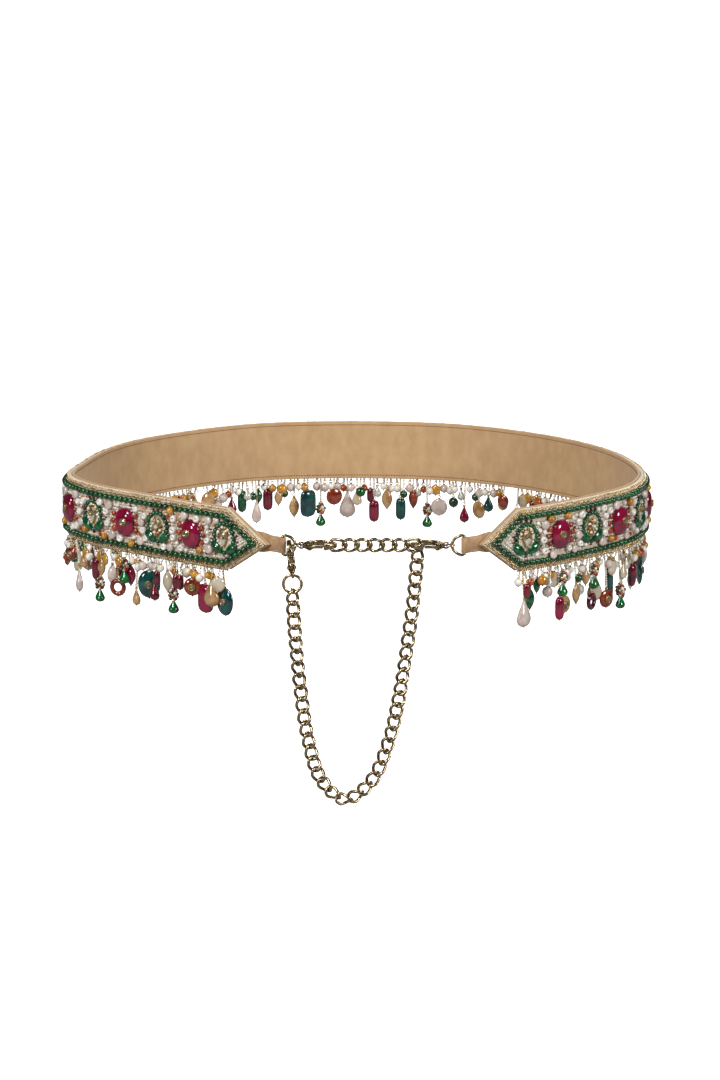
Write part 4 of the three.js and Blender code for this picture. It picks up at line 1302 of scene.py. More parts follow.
@dataclass
class ScatterBeads:
    """Pearls, discs and small beads sewn between the motifs, on a ground of white seeds."""

    path: BandPath
    spots: list[Spot]
    surface: float = 2.75

    def build(self) -> None:
        """Builds the scattered beads, large ones first, then the ground."""
        path = self.path
        chance = np.random.default_rng(31)
        disc = lathe([(-0.5, 0.8), (-0.2, 1.0), (0.25, 1.0), (0.5, 0.7), (0.42, 0.2)], 12)
        point = lathe([(-0.5, 0.5), (0.0, 1.0), (0.5, 0.5)], 5, smooth=False)
        chip = lathe([(-0.5, 0.6), (0.1, 1.0), (0.6, 0.4)], 6, smooth=False)
        # Each row: name, finish, form, radius, how many to a gap, lift as a share, reach up and down.
        kinds = (
            ("quartz_discs", ROSE, disc, 2.45, 2, 0.6, 10.4),
            ("amber_rounds", AMBER, ball(10, 6), 2.15, 1, 0.8, 11.2),
            ("pearls", PEARL, hoop(0.58, 0.42, 10, 7).sized(1, 1, 1.7), 2.05, 7, 0.7, 9.6),
            ("rust_stars", ORANGE, point, 1.6, 1, 0.7, 9.2),
            ("small_pearls", PEARL, ball(8, 5), 1.4, 8, 0.6, 9.8),
            ("peach_chips", PEACH, chip, 1.3, 5, 0.6, 9.6),
            ("maroon_seeds", SEED_RED, ball(6, 4), 0.85, 6, 0.5, 9.8),
            ("rust_seeds", RUST, ball(6, 4), 0.9, 5, 0.5, 9.6),
        )
        taken: list[Spot] = list(self.spots)
        order = sorted(self.spots, key=lambda spot: spot.along)
        gaps = [(first.along, second.along) for first, second in zip(order, order[1:])]
        heaps = {kind[0]: Heap(kind[0], 40 + number) for number, kind in enumerate(kinds)}
        star = lathe([(-0.5, 0.62), (-0.1, 1.0), (0.35, 0.9), (0.6, 0.45), (0.62, 0.1)], 8)
        for spot in self.spots:
            if not spot.flanked:
                continue
            for side, rise in ((-1, -3.9), (-1, 0.2), (-1, 4.2), (1, -4.2), (1, -0.1), (1, 4.0)):
                along = spot.along + side * (8.2 - 0.05 * rise * rise) + chance.uniform(-0.25, 0.25)
                size = 1.75 * chance.uniform(0.88, 1.06)
                axes = path.axes(along, chance.uniform(0, tau))
                finish = RUST if chance.random() < 0.3 else ORANGE
                heaps["rust_stars"].add(star, finish, path.place(along, rise, self.surface + 0.9), axes, size)
                taken.append(Spot(along, rise, 1.8, 1.8))
        for name, finish, form, radius, count, lift, reach in kinds:
            for start, stop in gaps:
                wanted = count
                for _ in range(60):
                    if wanted == 0:
                        break
                    along = chance.uniform(start + 3, stop - 3)
                    rise = chance.uniform(-reach, reach)
                    one, two = np.array([along]), np.array([rise])
                    near = [spot for spot in taken if abs(spot.along - along) < 14]
                    if not all(spot.clear(one, two, radius * 0.82)[0] for spot in near):
                        continue
                    wanted -= 1
                    taken.append(Spot(along, rise, radius, radius))
                    place = path.place(along, rise, self.surface + radius * lift)
                    axes = path.axes(along, chance.uniform(0, tau))
                    heaps[name].add(form, finish, place, axes, radius * chance.uniform(0.88, 1.05))
        for heap in heaps.values():
            heap.build("belt")
        self.ground(taken, chance)

    def ground(self, taken: list[Spot], chance: Chance) -> None:
        """Fills what is left with rows of white seeds.

        Args:
            taken: The spots already in use.
            chance: The generator of small differences.
        """
        path = self.path
        heap = Heap("ground_seeds", 51)
        for rise in np.arange(-8.3, 8.4, 1.66):
            first, last = (
                path.tip(8.6, chevron) + abs(rise) * chevron / path.half
                for chevron in (path.left_chevron, path.right_chevron)
            )
            along = np.arange(first, path.length - last, 1.6)
            along = along + 0.3 * (chance.random(len(along)) - 0.5)
            level = rise + 0.35 * (chance.random(len(along)) - 0.5)
            free = np.ones(len(along), bool)
            for spot in self.spots:
                if not spot.flanked and rise < -5:
                    free &= np.abs(along - spot.along) > 8.6
            for spot in taken:
                free &= spot.clear(along, level, -1.2 if spot.wide > 5 else -0.2)
            along, level = along[free], level[free]
            axes = path.beaded(along, chance.uniform(-0.5, 0.5, len(along)))
            heap.add(ball(5, 3), SEED_WHITE, path.place(along, level, self.surface + 0.3), axes, 0.82)
        heap.build("belt")


class Shape(Enum):
    """The forms of the fringe's drops."""

    TEAR = "tear"
    TUBE = "tube"
    DISC = "disc"
    LEAF = "leaf"
    ROUND = "round"
    HOOP = "hoop"
    CLUSTER = "cluster"


@dataclass(frozen=True)
class Drop:
    """One hanging drop: its form, finish, reach below the band and size in millimetres."""

    shape: Shape
    finish: Finish
    reach: float
    wide: float
    high: float
    deep: float
    eye: bool = False


# Each size: its form, width, height and depth.
DROP_SIZES = {
    "tear": (Shape.TEAR, 8.2, 14.0, 5.0),
    "small": (Shape.TEAR, 5.0, 8.6, 3.8),
    "slim": (Shape.TEAR, 5.4, 12.5, 4.0),
    "bunch": (Shape.CLUSTER, 5.4, 12.5, 4.0),
    "tube": (Shape.TUBE, 5.2, 11.4, 4.6),
    "rod": (Shape.TUBE, 4.6, 17.0, 4.4),
    "stone": (Shape.TUBE, 9.0, 14.2, 4.8),
    "disc": (Shape.DISC, 11.0, 13.8, 3.4),
    "coin": (Shape.DISC, 8.4, 8.8, 2.8),
    "hoop": (Shape.HOOP, 8.4, 8.8, 2.8),
    "leaf": (Shape.LEAF, 5.6, 11.0, 3.4),
    "round": (Shape.ROUND, 5.2, 5.2, 5.0),
}


def drops(*rows: tuple) -> list[Drop]:
    """Drops of the usual sizes.

    Args:
        rows: Each drop's size, its finish, its middle below the band as a share of the fringe's
            reach, and True where a small stone is set on its front.

    Returns:
        The drops.
    """
    made = []
    for kind, finish, reach, *eye in rows:
        shape, *size = DROP_SIZES[kind]
        made.append(Drop(shape, finish, reach, *size, *eye))
    return made


FRONT_LEFT = drops(
    ("disc", TEAL, 0.68, True), ("tear", HONEY, 0.5), ("stone", RUBY, 0.68), ("coin", RUST, 0.45, True),
    ("round", CREAM_STONE, 0.2), ("bunch", EMERALD, 0.86), ("leaf", CREAM_STONE, 0.46),
    ("small", MAROON, 0.7), ("disc", TEAL, 0.6, True), ("small", HONEY, 0.88), ("leaf", RUBY, 0.48),
    ("hoop", RUST, 0.76), ("leaf", ROSE, 0.55), ("bunch", EMERALD, 0.92), ("tube", MAROON, 0.5),
    ("small", HONEY, 0.33),
)
SIDE_LEFT = drops(
    ("slim", ROSE, 0.86), ("coin", RUST, 0.5, True), ("tear", CREAM_STONE, 0.66), ("leaf", HONEY, 0.4),
    ("tube", MAROON, 0.72), ("small", AMBER, 0.5), ("bunch", EMERALD, 0.88), ("hoop", RUST, 0.45),
    ("stone", TEAL, 0.66), ("leaf", ROSE, 0.5), ("tube", RUBY, 0.76),
)
BACK = drops(
    ("coin", HONEY, 0.32), ("round", ROSE, 0.45), ("small", RUBY, 0.5), ("tube", BOTTLE, 0.45),
    ("slim", ROSE, 0.67), ("tube", MAROON, 0.45), ("round", AMBER, 0.12), ("leaf", HONEY, 0.65),
    ("stone", TEAL, 0.55), ("bunch", EMERALD, 0.88), ("coin", RUST, 0.4), ("tear", ROSE, 0.6),
    ("round", GREEN, 0.3), ("tube", RUBY, 0.76), ("leaf", HONEY, 0.45), ("tube", TEAL, 0.7),
    ("leaf", RUST, 0.42), ("bunch", EMERALD, 0.88), ("coin", ROSE, 0.6), ("round", GREEN, 0.5),
    ("small", RUBY, 0.72), ("coin", HONEY, 0.62, True), ("small", TEAL, 0.42), ("round", AMBER, 0.45),
)
SIDE_RIGHT = drops(
    ("tube", BOTTLE, 0.7), ("coin", RUST, 0.5, True), ("slim", ROSE, 0.88), ("leaf", AMBER, 0.45),
    ("tear", CREAM_STONE, 0.66), ("tube", MAROON, 0.76), ("coin", HONEY, 0.45, True),
    ("small", RUBY, 0.6), ("bunch", EMERALD, 0.88), ("leaf", ROSE, 0.5), ("stone", TEAL, 0.62),
)
FRONT_RIGHT = drops(
    ("bunch", MAROON, 0.6), ("disc", TEAL, 0.6, True), ("leaf", CREAM_STONE, 0.75), ("tube", MAROON, 0.6),
    ("small", MAROON, 0.9), ("bunch", EMERALD, 1.0), ("rod", TEAL, 0.67), ("coin", RUST, 0.93, True),
    ("tear", CREAM_STONE, 0.66), ("hoop", MAROON, 0.9), ("round", CRYSTAL, 0.64), ("leaf", HONEY, 0.66),
    ("coin", HONEY, 0.88, True), ("tube", RUBY, 0.9), ("round", ROSE, 0.54), ("round", AMBER, 0.24),
    ("leaf", BOTTLE, 0.62), ("tear", ROSE, 0.86),
)
FILLERS = [
    Drop(Shape.ROUND, AMBER, 0.18, 4.6, 4.6, 4.4), Drop(Shape.ROUND, PEARL, 0.24, 4.6, 4.6, 4.4),
    Drop(Shape.DISC, RUST, 0.32, 7.2, 7.6, 2.6, True), Drop(Shape.LEAF, HONEY, 0.4, 5.0, 9.6, 3.2),
    Drop(Shape.TEAR, CRYSTAL, 0.28, 4.8, 7.0, 3.8), Drop(Shape.TUBE, MAROON, 0.4, 4.2, 8.4, 3.8),
    Drop(Shape.ROUND, ROSE, 0.3, 5.6, 5.6, 5.0), Drop(Shape.LEAF, BOTTLE, 0.36, 4.8, 8.8, 3.2),
    Drop(Shape.DISC, AMBER, 0.2, 6.0, 6.2, 2.6), Drop(Shape.ROUND, ORANGE, 0.24, 4.2, 4.2, 4.2),
    Drop(Shape.TEAR, CREAM_STONE, 0.42, 6.0, 9.6, 4.2), Drop(Shape.ROUND, PEARL, 0.16, 4.0, 4.0, 4.0),
    Drop(Shape.ROUND, ROSE, 0.2, 5.0, 5.0, 4.6), Drop(Shape.CLUSTER, EMERALD, 0.3, 5.4, 8.0, 4.0),
    Drop(Shape.DISC, CREAM_STONE, 0.3, 7.4, 8.6, 2.8), Drop(Shape.ROUND, GREEN, 0.34, 4.6, 4.6, 4.4),
]


def righted(axes: Array) -> Array:
    """Axes made right-handed by their first column."""
    return axes * np.array([np.sign(np.linalg.det(axes)), 1, 1])


@dataclass
class Fringe:
    """A stretch of hanging drops, each on its string of seed beads."""

    path: BandPath
    name: str
    start: float
    stop: float
    drops: list[Drop]
    seed: int
    reach: float = 26.0
    edge: float = -17.0
    out: float = 1.3
    swing: float = 1.6
    between: float = 2.9
    crowding: float = 1.3
    size: float = 1.14
    bunch: int = 30
    seed_pitch: float = 1.34

    def form(self, item: Drop) -> Form:
        """A drop's own form with its top at z 0.

        Args:
            item: The drop.

        Returns:
            The form, hanging down.
        """
        if item.shape is Shape.HOOP:
            flat = hoop(0.36, 0.14, 20, 8).turned(UPRIGHT)
            return flat.sized(item.wide, item.deep * 3, item.high).moved(0, 0, -item.high / 2)

        def even(*half: Pair) -> list[Pair]:
            """An outline whose lower half is its upper half again."""
            return [*half, (0.5, 1.0), *((1 - down, wide) for down, wide in half[::-1])]

        outlines = {
            Shape.TEAR: [
                (0.0, 0.1), (0.1, 0.2), (0.26, 0.42), (0.44, 0.7), (0.6, 0.92), (0.74, 1.0), (0.86, 0.88),
                (0.95, 0.56), (1, 0.06),
            ],
            Shape.TUBE: even((0.0, 0.06), (0.03, 0.5), (0.1, 0.82), (0.22, 0.97)),
            Shape.DISC: even((0.0, 0.06), (0.05, 0.44), (0.16, 0.74), (0.32, 0.94)),
            Shape.LEAF: [
                (0.0, 0.05), (0.12, 0.38), (0.28, 0.76), (0.5, 1.0), (0.72, 0.8), (0.88, 0.42), (1, 0.05),
            ],
            Shape.ROUND: even((0.0, 0.1), (0.08, 0.54), (0.25, 0.87)),
        }
        rows = eased(np.array(outlines[item.shape]), 2, closed=False)
        made = lathe([(-down * item.high, wide / 2) for down, wide in rows[::-1]], 14)
        return made.sized(item.wide, item.deep, 1.0)

    def cluster(self, heap: Heap, middle: Array, half: float, chance: Chance) -> None:
        """A bunch of small beads round the string.

        Args:
            heap: The piece.
            middle: The bunch's middle.
            half: Its half height.
            chance: The generator of small differences.
        """
        mix = (SEED_CREAM, GREEN, SEED_RED, SEED_GOLD, PEARL, ORANGE)
        for number in range(self.bunch):
            turn = number * SPIRAL
            lean = 1 - 2 * (number + 0.5) / self.bunch
            ring = sqrt(1 - lean * lean) * (0.45 if number % 4 == 0 else 1.0)
            shift = np.array([ring * cos(turn) * 2.3, ring * sin(turn) * 1.9, lean * half])
            size = chance.uniform(0.75, 1.15)
            heap.add(ball(7, 4), mix[number % len(mix)], middle + shift, scale=size)

    def hang(self, heap: Heap, item: Drop, along: float, sway: float, chance: Chance) -> None:
        """Adds one drop with its string, cap and pin.

        Args:
            heap: The piece.
            item: The drop.
            along: Its place along the band.
            sway: How far it hangs in front of the cord.
            chance: The generator of small differences.
        """
        top = self.path.place(along, self.edge - 0.4, self.out)[0]
        axes = self.path.axes(along)[0]
        spin = chance.uniform(-0.5, 0.5)
        outward = axes[:, 2] * cos(spin) + axes[:, 0] * sin(spin)
        across = np.cross(outward, UP)
        turned = righted(np.stack([across, outward, UP], -1))
        begin = max(item.reach * self.reach - item.high / 2, 2.4)
        shift = axes[:, 2] * sway - UP * begin
        foot = top + shift
        bend = np.array([top, top + shift * 0.35 + axes[:, 2] * sway * 0.15, foot])
        heap.add(rope(eased(bend, 4, closed=False), 0.2, 5), CREAM_THREAD)
        span = float(np.linalg.norm(shift))
        seeds = max(int((span - 1.5) / self.seed_pitch), 0)
        shares = (1.0 + self.seed_pitch * np.arange(seeds)) / max(span, 0.1)
        bright = SEED_GOLD if chance.random() < 0.25 else SEED_WHITE
        if seeds:
            heap.add(ball(6, 3), bright, top + shift * shares[:, None], scale=0.74)
        ring = hoop(0.95, 0.22, 10, 5).turned(UPRIGHT)
        heap.add(ring, PALE if chance.random() < 0.5 else GILT, foot + UP * 0.9, turned)
        if item.shape is Shape.CLUSTER:
            bunch = foot - UP * 2.6
            self.cluster(heap, bunch, 3.2, chance)
            small = Drop(Shape.TEAR, item.finish, 0, 6.0, 8.0, 5.2)
            heap.add(self.form(small), item.finish, bunch - UP * 2.6, turned)
            end = bunch - UP * 10.2
        else:
            heap.add(self.form(item), item.finish, foot, turned)
            end = foot - UP * (item.high + 0.1)
            cap = lathe([(-0.75, 1.0), (-0.3, 0.92), (0.1, 0.5), (0.3, 0.2)], 8)
            heap.add(cap, GILT, foot + UP * 0.1, turned, 0.95)
        if item.eye:
            face = righted(np.stack([across, UP, outward], -1))
            middle = foot + outward * (item.deep * 0.46) - UP * (item.high * 0.5)
            set_stone(heap, middle, face, 2.1 if item.high > 10 else 1.9)
        heap.add(ball(6, 3), PALE, end, scale=0.42)
        heap.add(rope(np.array([end, end + UP]), 0.16, 5), PALE)

    def build(self) -> None:
        """Builds the stretch: its cord, its drops and the small beads between them."""
        chance = np.random.default_rng(self.seed)
        heap = Heap(self.name + "_drops", self.seed)
        marks = np.linspace(self.start, self.stop, max(int((self.stop - self.start) / 1.36), 3))
        cord = self.path.place(marks, self.edge - 0.1, self.out)
        heap.add(rope(cord[::3], 0.28, 5), CREAM_THREAD)
        heap.add(ball(6, 3), SEED_GOLD, cord, self.path.beaded(marks), 0.6)
        pitch = (self.stop - self.start) / len(self.drops)
        mains = [
            (
                self.start + (number + 0.5) * pitch,
                replace(item, wide=item.wide * self.size, high=item.high * self.size),
                self.swing if number % 2 else -self.swing,
            )
            for number, item in enumerate(self.drops)
        ]
        hung: list[tuple[float, Drop]] = [(along, item) for along, item, _ in mains]

        def crowd(beside: float, item: Drop) -> float:
            """How much of a drop its neighbours cover.

            Args:
                beside: Where it would hang.
                item: The drop.

            Returns:
                The share of its own width and height.
            """
            total = 0.0
            for along, other in hung:
                wide = (item.wide + other.wide) / 2 - abs(beside - along)
                tall = (item.high + other.high) / 2 - abs(item.reach - other.reach) * self.reach
                total += max(wide, 0.0) * max(tall, 0.0) / (item.wide * item.high)
            return total

        ring = hoop(2.3, 0.26, 20, 6).turned(UPRIGHT)
        extras = max(round(pitch / self.between), 1)
        for number, (along, item, sway) in enumerate(mains):
            self.hang(heap, item, along, sway, chance)
            for extra in range(extras):
                beside = along + pitch * (extra + 0.6) / (extras + 0.2)
                if beside > self.stop - 0.8:
                    continue
                tried = [FILLERS[int(k)] for k in chance.choice(len(FILLERS), 3, replace=False)]
                pick = min(tried, key=lambda filler: crowd(beside, filler))
                if crowd(beside, pick) > self.crowding:
                    continue
                hung.append((beside, pick))
                self.hang(heap, pick, beside, -sway * chance.uniform(0.7, 1.3), chance)
            if number % 3 == 1:
                turned = righted(self.path.axes(along + pitch / 2)[0][:, [0, 2, 1]])
                place = self.path.place(along + pitch / 2, self.edge - 1.2, self.out)[0]
                heap.add(ring, PALE, place, turned)
        heap.build("belt", [self.name])


def build_fringe(path: BandPath) -> None:
    """Builds the fringe's five stretches over their own solids.

    Args:
        path: The band's line.
    """
    start = path.left_chevron + 1
    run = path.length - path.right_chevron - 1 - start
    stretches = (
        ("fringe_front_left", 0.0, 0.142, FRONT_LEFT, {"between": 2.9}),
        ("fringe_side_left", 0.142, 0.375, SIDE_LEFT, {"between": 3.2}),
        ("fringe_back", 0.375, 0.632, BACK, {"between": 3.3, "crowding": 0.8, "size": 1.15}),
        ("fringe_side_right", 0.632, 0.852, SIDE_RIGHT, {"between": 3.2}),
        ("fringe_front_right", 0.852, 1.0, FRONT_RIGHT, {"between": 2.9}),
    )
    for number, (name, low, high, hanging, sizes) in enumerate(stretches):
        first = start + low * run + (0.3 if low else 0.0)
        Fringe(path, name, first, start + high * run, hanging, 60 + number, **sizes).build()


def ring_bar(side: str) -> Array:
    """The middle of the left or the right D ring's bar."""
    low, high = box("d_ring_" + side)
    return np.array([low[0] + 0.7 if side == "left" else high[0] - 0.7, (low[1] + high[1]) / 2, 0.0])


@dataclass
class SuedeTab:
    """A strip of suede folded round a D ring's bar and sewn behind the band's tip."""

    path: BandPath
    side: str
    reach: float
    height: float = 8.4
    root: float = 13.5
    leather: float = 0.95
    fold: float = 1.3

    def build(self) -> None:
        """Builds the folded strip and its stitches."""
        bar, way = ring_bar(self.side), 1.0 if self.side == "left" else -1.0
        band_axes = self.path.axes(0.0 if self.side == "left" else self.path.length)[0]
        toward, outward = band_axes[:, 0] * way, band_axes[:, 2]
        tail, bend = -self.reach - self.root, -self.reach - 5
        upper = [(tail, 0.62), (bend, 0.62), (-self.reach, 0.62), (-3.4, 0.66), (-1.9, 0.85), (-1.0, 1.2)]
        fold = [(self.fold * cos(a), self.fold * sin(a)) for a in np.radians([62, 30, 0, -30, -62])]
        line = upper + fold + [(x, -y) for x, y in upper[::-1]]
        fine = eased(np.array(line, float), 3, closed=False)
        along = np.gradient(fine, axis=0)
        along /= np.linalg.norm(along, axis=1)[:, None]
        across = np.stack([along[:, 1], -along[:, 0]], 1)
        narrow = [-self.reach - 6, -self.reach - 1]
        width = np.interp(fine[:, 0], narrow, [self.height * 0.64, self.height * 0.5])
        under = [(-1, -0.25), (-0.95, -0.5), (0, -0.5), (0.95, -0.5), (1, -0.25)]
        rings = []
        for point, side, half in zip(fine, across, width):
            rows = []
            for rise, thick in under + [(rise, -thick) for rise, thick in under[::-1]]:
                x, y = point + side * thick * self.leather
                rows.append(bar + toward * x + outward * y + UP * (rise * half))
            rings.append(np.array(rows))
        heap = Heap("suede_tab_" + self.side, 71)
        heap.add(loft(rings if way > 0 else [ring[::-1] for ring in rings]), TAB_SUEDE)
        stitch = lathe([(-0.6, 0.04), (-0.4, 0.15), (0.4, 0.15), (0.6, 0.04)], 6)
        axes = np.stack([UP, np.cross(toward, UP), toward], -1)
        axes[:, 1] *= np.sign(np.linalg.det(axes))
        for x in np.arange(-self.reach + 0.6, -2.4, 1.6):
            for rise in (-3.3, 3.3):
                for layer in (1.14, -1.14):
                    heap.add(stitch, CREAM_THREAD, bar + toward * x + outward * layer + UP * rise, axes)
        heap.build("belt", ["leather_tab_" + self.side])


class LinkEnd(Enum):
    """How a link's end is bent: half straight, turn, shoulder and its turn."""

    CURB = (0.5, 44.0, 0.43, 22.0)
    SQUARE = (0.68, 0.0, 0.74, 0.0)
    CROSS = (0.5, 90.0, 0.43, 50.0)


class Foundry:
    """Turns rough closed forms into one smooth skin, as metal is cast and tumbled."""

    def __init__(self, grain: float = 0.19, rubs: int = 5) -> None:
        """Keeps the skin's grain in millimetres, and how often it is smoothed."""
        self.grain, self.rubs = grain, rubs

    def rough(self, forms: Sequence[Form]) -> bpy.types.Object:
        """Puts forms into one working object, in millimetres.

        Args:
            forms: The forms.

        Returns:
            The object, which is no piece and is taken away after the casting.
        """
        points: list[list[float]] = []
        faces: list[tuple[int, ...]] = []
        for form in forms:
            faces += [tuple(int(n) + len(points) for n in face) for face in form.faces]
            points += form.points.tolist()
        mesh = bpy.data.meshes.new("working")
        mesh.from_pydata(points, [], faces)
        return linked("working", mesh)

    def cast(self, forms: Sequence[Form], cut: Form | None = None) -> Form:
        """Joins forms into one skin, less what is cut away.

        Args:
            forms: Closed forms that overlap.
            cut: What is taken out of the first form, or None.

        Returns:
            The smooth form.
        """
        body = self.rough(forms)
        tool = self.rough([cut]) if cut else None
        if tool:
            taken = body.modifiers.new("slot", "BOOLEAN")
            taken.operation = "DIFFERENCE"
            taken.solver = "EXACT"
            taken.object = tool
        skin = body.modifiers.new("skin", "REMESH")
        skin.mode = "VOXEL"
        skin.voxel_size = self.grain
        rub = body.modifiers.new("rub", "SMOOTH")
        rub.factor = 0.5
        rub.iterations = self.rubs
        graph = bpy.context.evaluated_depsgraph_get()
        mesh = bpy.data.meshes.new_from_object(body.evaluated_get(graph), depsgraph=graph)
        points = np.array([v.co for v in mesh.vertices], float)
        faces = [tuple(face.vertices) for face in mesh.polygons]
        for item in (body, tool):
            if item:
                old = item.data
                bpy.data.objects.remove(item)
                bpy.data.meshes.remove(old)
        bpy.data.meshes.remove(mesh)
        return Form(points, faces)


@dataclass
class TriggerClasp:
    """A cast trigger clasp with its tail eye, pivot rivet and sprung lever."""

    side: str
    hook: Array
    along: Array
    eye_turned: bool
    length: float = 21.0
    width: float = 11.0
    thickness: float = 4.0
    lever: float = 1.8
    pivot: Pair = (0.31, -0.42)

    def flat(self, rows: Sequence[Pair], steps: int) -> Array:
        """An outline in millimetres, turning to the left.

        Args:
            rows: Shares of the clasp's length and of its half width.
            steps: New points to each row, 1 to keep its corners.

        Returns:
            The outline's points.
        """
        points = np.array(rows) * [self.length, self.width / 2]
        points = eased(points, steps, closed=True) if steps > 1 else points
        after = np.roll(points, -1, 0)
        turn = (points[:, 0] * after[:, 1] - points[:, 1] * after[:, 0]).sum()
        return points if turn > 0 else points[::-1]

    def plate(self, outline: Array, thick: float, round_by: float) -> Form:
        """A flat form with rounded edges, its middle on z 0.

        Args:
            outline: Its outline.
            thick: Its thickness.
            round_by: The edge's radius.

        Returns:
            The form.
        """
        way = np.roll(outline, -1, 0) - np.roll(outline, 1, 0)
        way /= np.linalg.norm(way, axis=1)[:, None]
        inward = np.stack([-way[:, 1], way[:, 0]], 1)
        leans = np.radians([90, 66, 44, 22, 0]) if round_by else np.array([0.0])
        rows = [(-thick / 2 + round_by * (1 - sin(a)), round_by * (1 - cos(a))) for a in leans]
        rows += [(-z, inset) for z, inset in reversed(rows)]
        rings = [np.column_stack([outline + inward * inset, np.full(len(outline), z)]) for z, inset in rows]
        count, last = len(outline), (len(rows) - 1) * len(outline)
        caps = [tuple(range(count))[::-1], tuple(range(last, last + count))]
        return Form(np.concatenate(rings), loft(rings).faces[:last] + caps)

    def swell(self, x: Array) -> Array:
        """How thick the clasp is along its length, as a share of its middle.

        Args:
            x: Lengths from the tail.

        Returns:
            The shares.
        """
        def soft(low: float, high: float) -> Array:
            """A soft step from 0 to 1."""
            t = np.clip((x / self.length - low) / (high - low), 0, 1)
            return t * t * (3 - 2 * t)

        return (0.62 + 0.38 * soft(0.1, 0.3)) * (1 - 0.35 * soft(0.66, 0.86))

    def body(self) -> Form:
        """The cheeks, the bow, the rivet and the eye in one skin.

        Returns:
            The form, its tail at the origin and its hook along x.
        """
        outline = [
            (0.13, -0.16), (0.2, -0.5), (0.27, -0.74), (0.36, -0.68), (0.4, -0.3), (0.38, 0.12), (0.43, 0.46),
            (0.55, 0.62), (0.71, 0.58), (0.85, 0.38), (0.89, 0.0), (0.855, -0.38), (0.76, -0.56),
            (0.67, -0.6), (0.67, -0.92), (0.77, -0.96), (0.9, -0.76), (0.98, -0.38), (1.0, 0.0), (0.97, 0.4),
            (0.87, 0.78), (0.7, 1.0), (0.5, 0.98), (0.33, 0.72), (0.2, 0.36), (0.13, 0.16),
        ]
        slot = [(0.2, -1.4), (0.225, -0.2), (0.3, -0.02), (0.42, -0.02), (0.5, -1.4)]
        foundry = Foundry()
        rough = self.plate(self.flat(outline, 5), self.thickness, 0.85)
        made = foundry.cast([rough], self.plate(self.flat(slot, 1), self.lever + 0.7, 0.0))
        made.points[:, 2] *= self.swell(made.points[:, 0])
        x, y, half = self.pivot[0] * self.length, self.pivot[1] * self.width / 2, self.thickness / 2
        rivets = [ball(16, 8).sized(1.05, 1.05, 0.5).moved(x, y, z) for z in (-half, half)]
        pin = lathe([(-half, 0.6), (half, 0.6)], 12).moved(x, y, 0)
        eye = hoop(1.6, 0.52, 28, 12).sized(1, 1, 1.45)
        if self.eye_turned:
            eye = eye.turned(UPRIGHT)
        neck = ball(12, 8).sized(1.3, 0.95, 1.0).moved(4.2, 0, 0)
        return foundry.cast([made, eye.moved(2.12, 0, 0), neck, pin, *rivets])

    def blade(self) -> Form:
        """The lever, from its thumb piece to the hook's mouth, in the body's own frame."""
        outline = [
            (0.25, -0.36), (0.255, -0.56), (0.33, -0.82), (0.385, -1.04), (0.45, -0.9), (0.55, -0.9),
            (0.64, -0.89), (0.64, -0.64), (0.55, -0.61), (0.46, -0.58), (0.37, -0.28), (0.3, -0.2),
        ]
        return Foundry(0.16, 4).cast([self.plate(self.flat(outline, 4), self.lever, 0.5)])

    def build(self) -> None:
        """Builds the body on the belt and the lever on its own hinge."""
        over = np.array([0.0, 1.0, 0.0])
        axes = np.stack([self.along, over, np.cross(self.along, over)], -1)
        tail = self.hook - self.along * self.length
        for name, form, body in (
            ("clasp_", self.body(), "belt"), ("lever_", self.blade(), "trigger_" + self.side),
        ):
            heap = Heap(name + self.side + "_cast", 83)
            heap.add(form, OLD_GOLD, tail, axes)
            heap.build(body, [name + self.side])


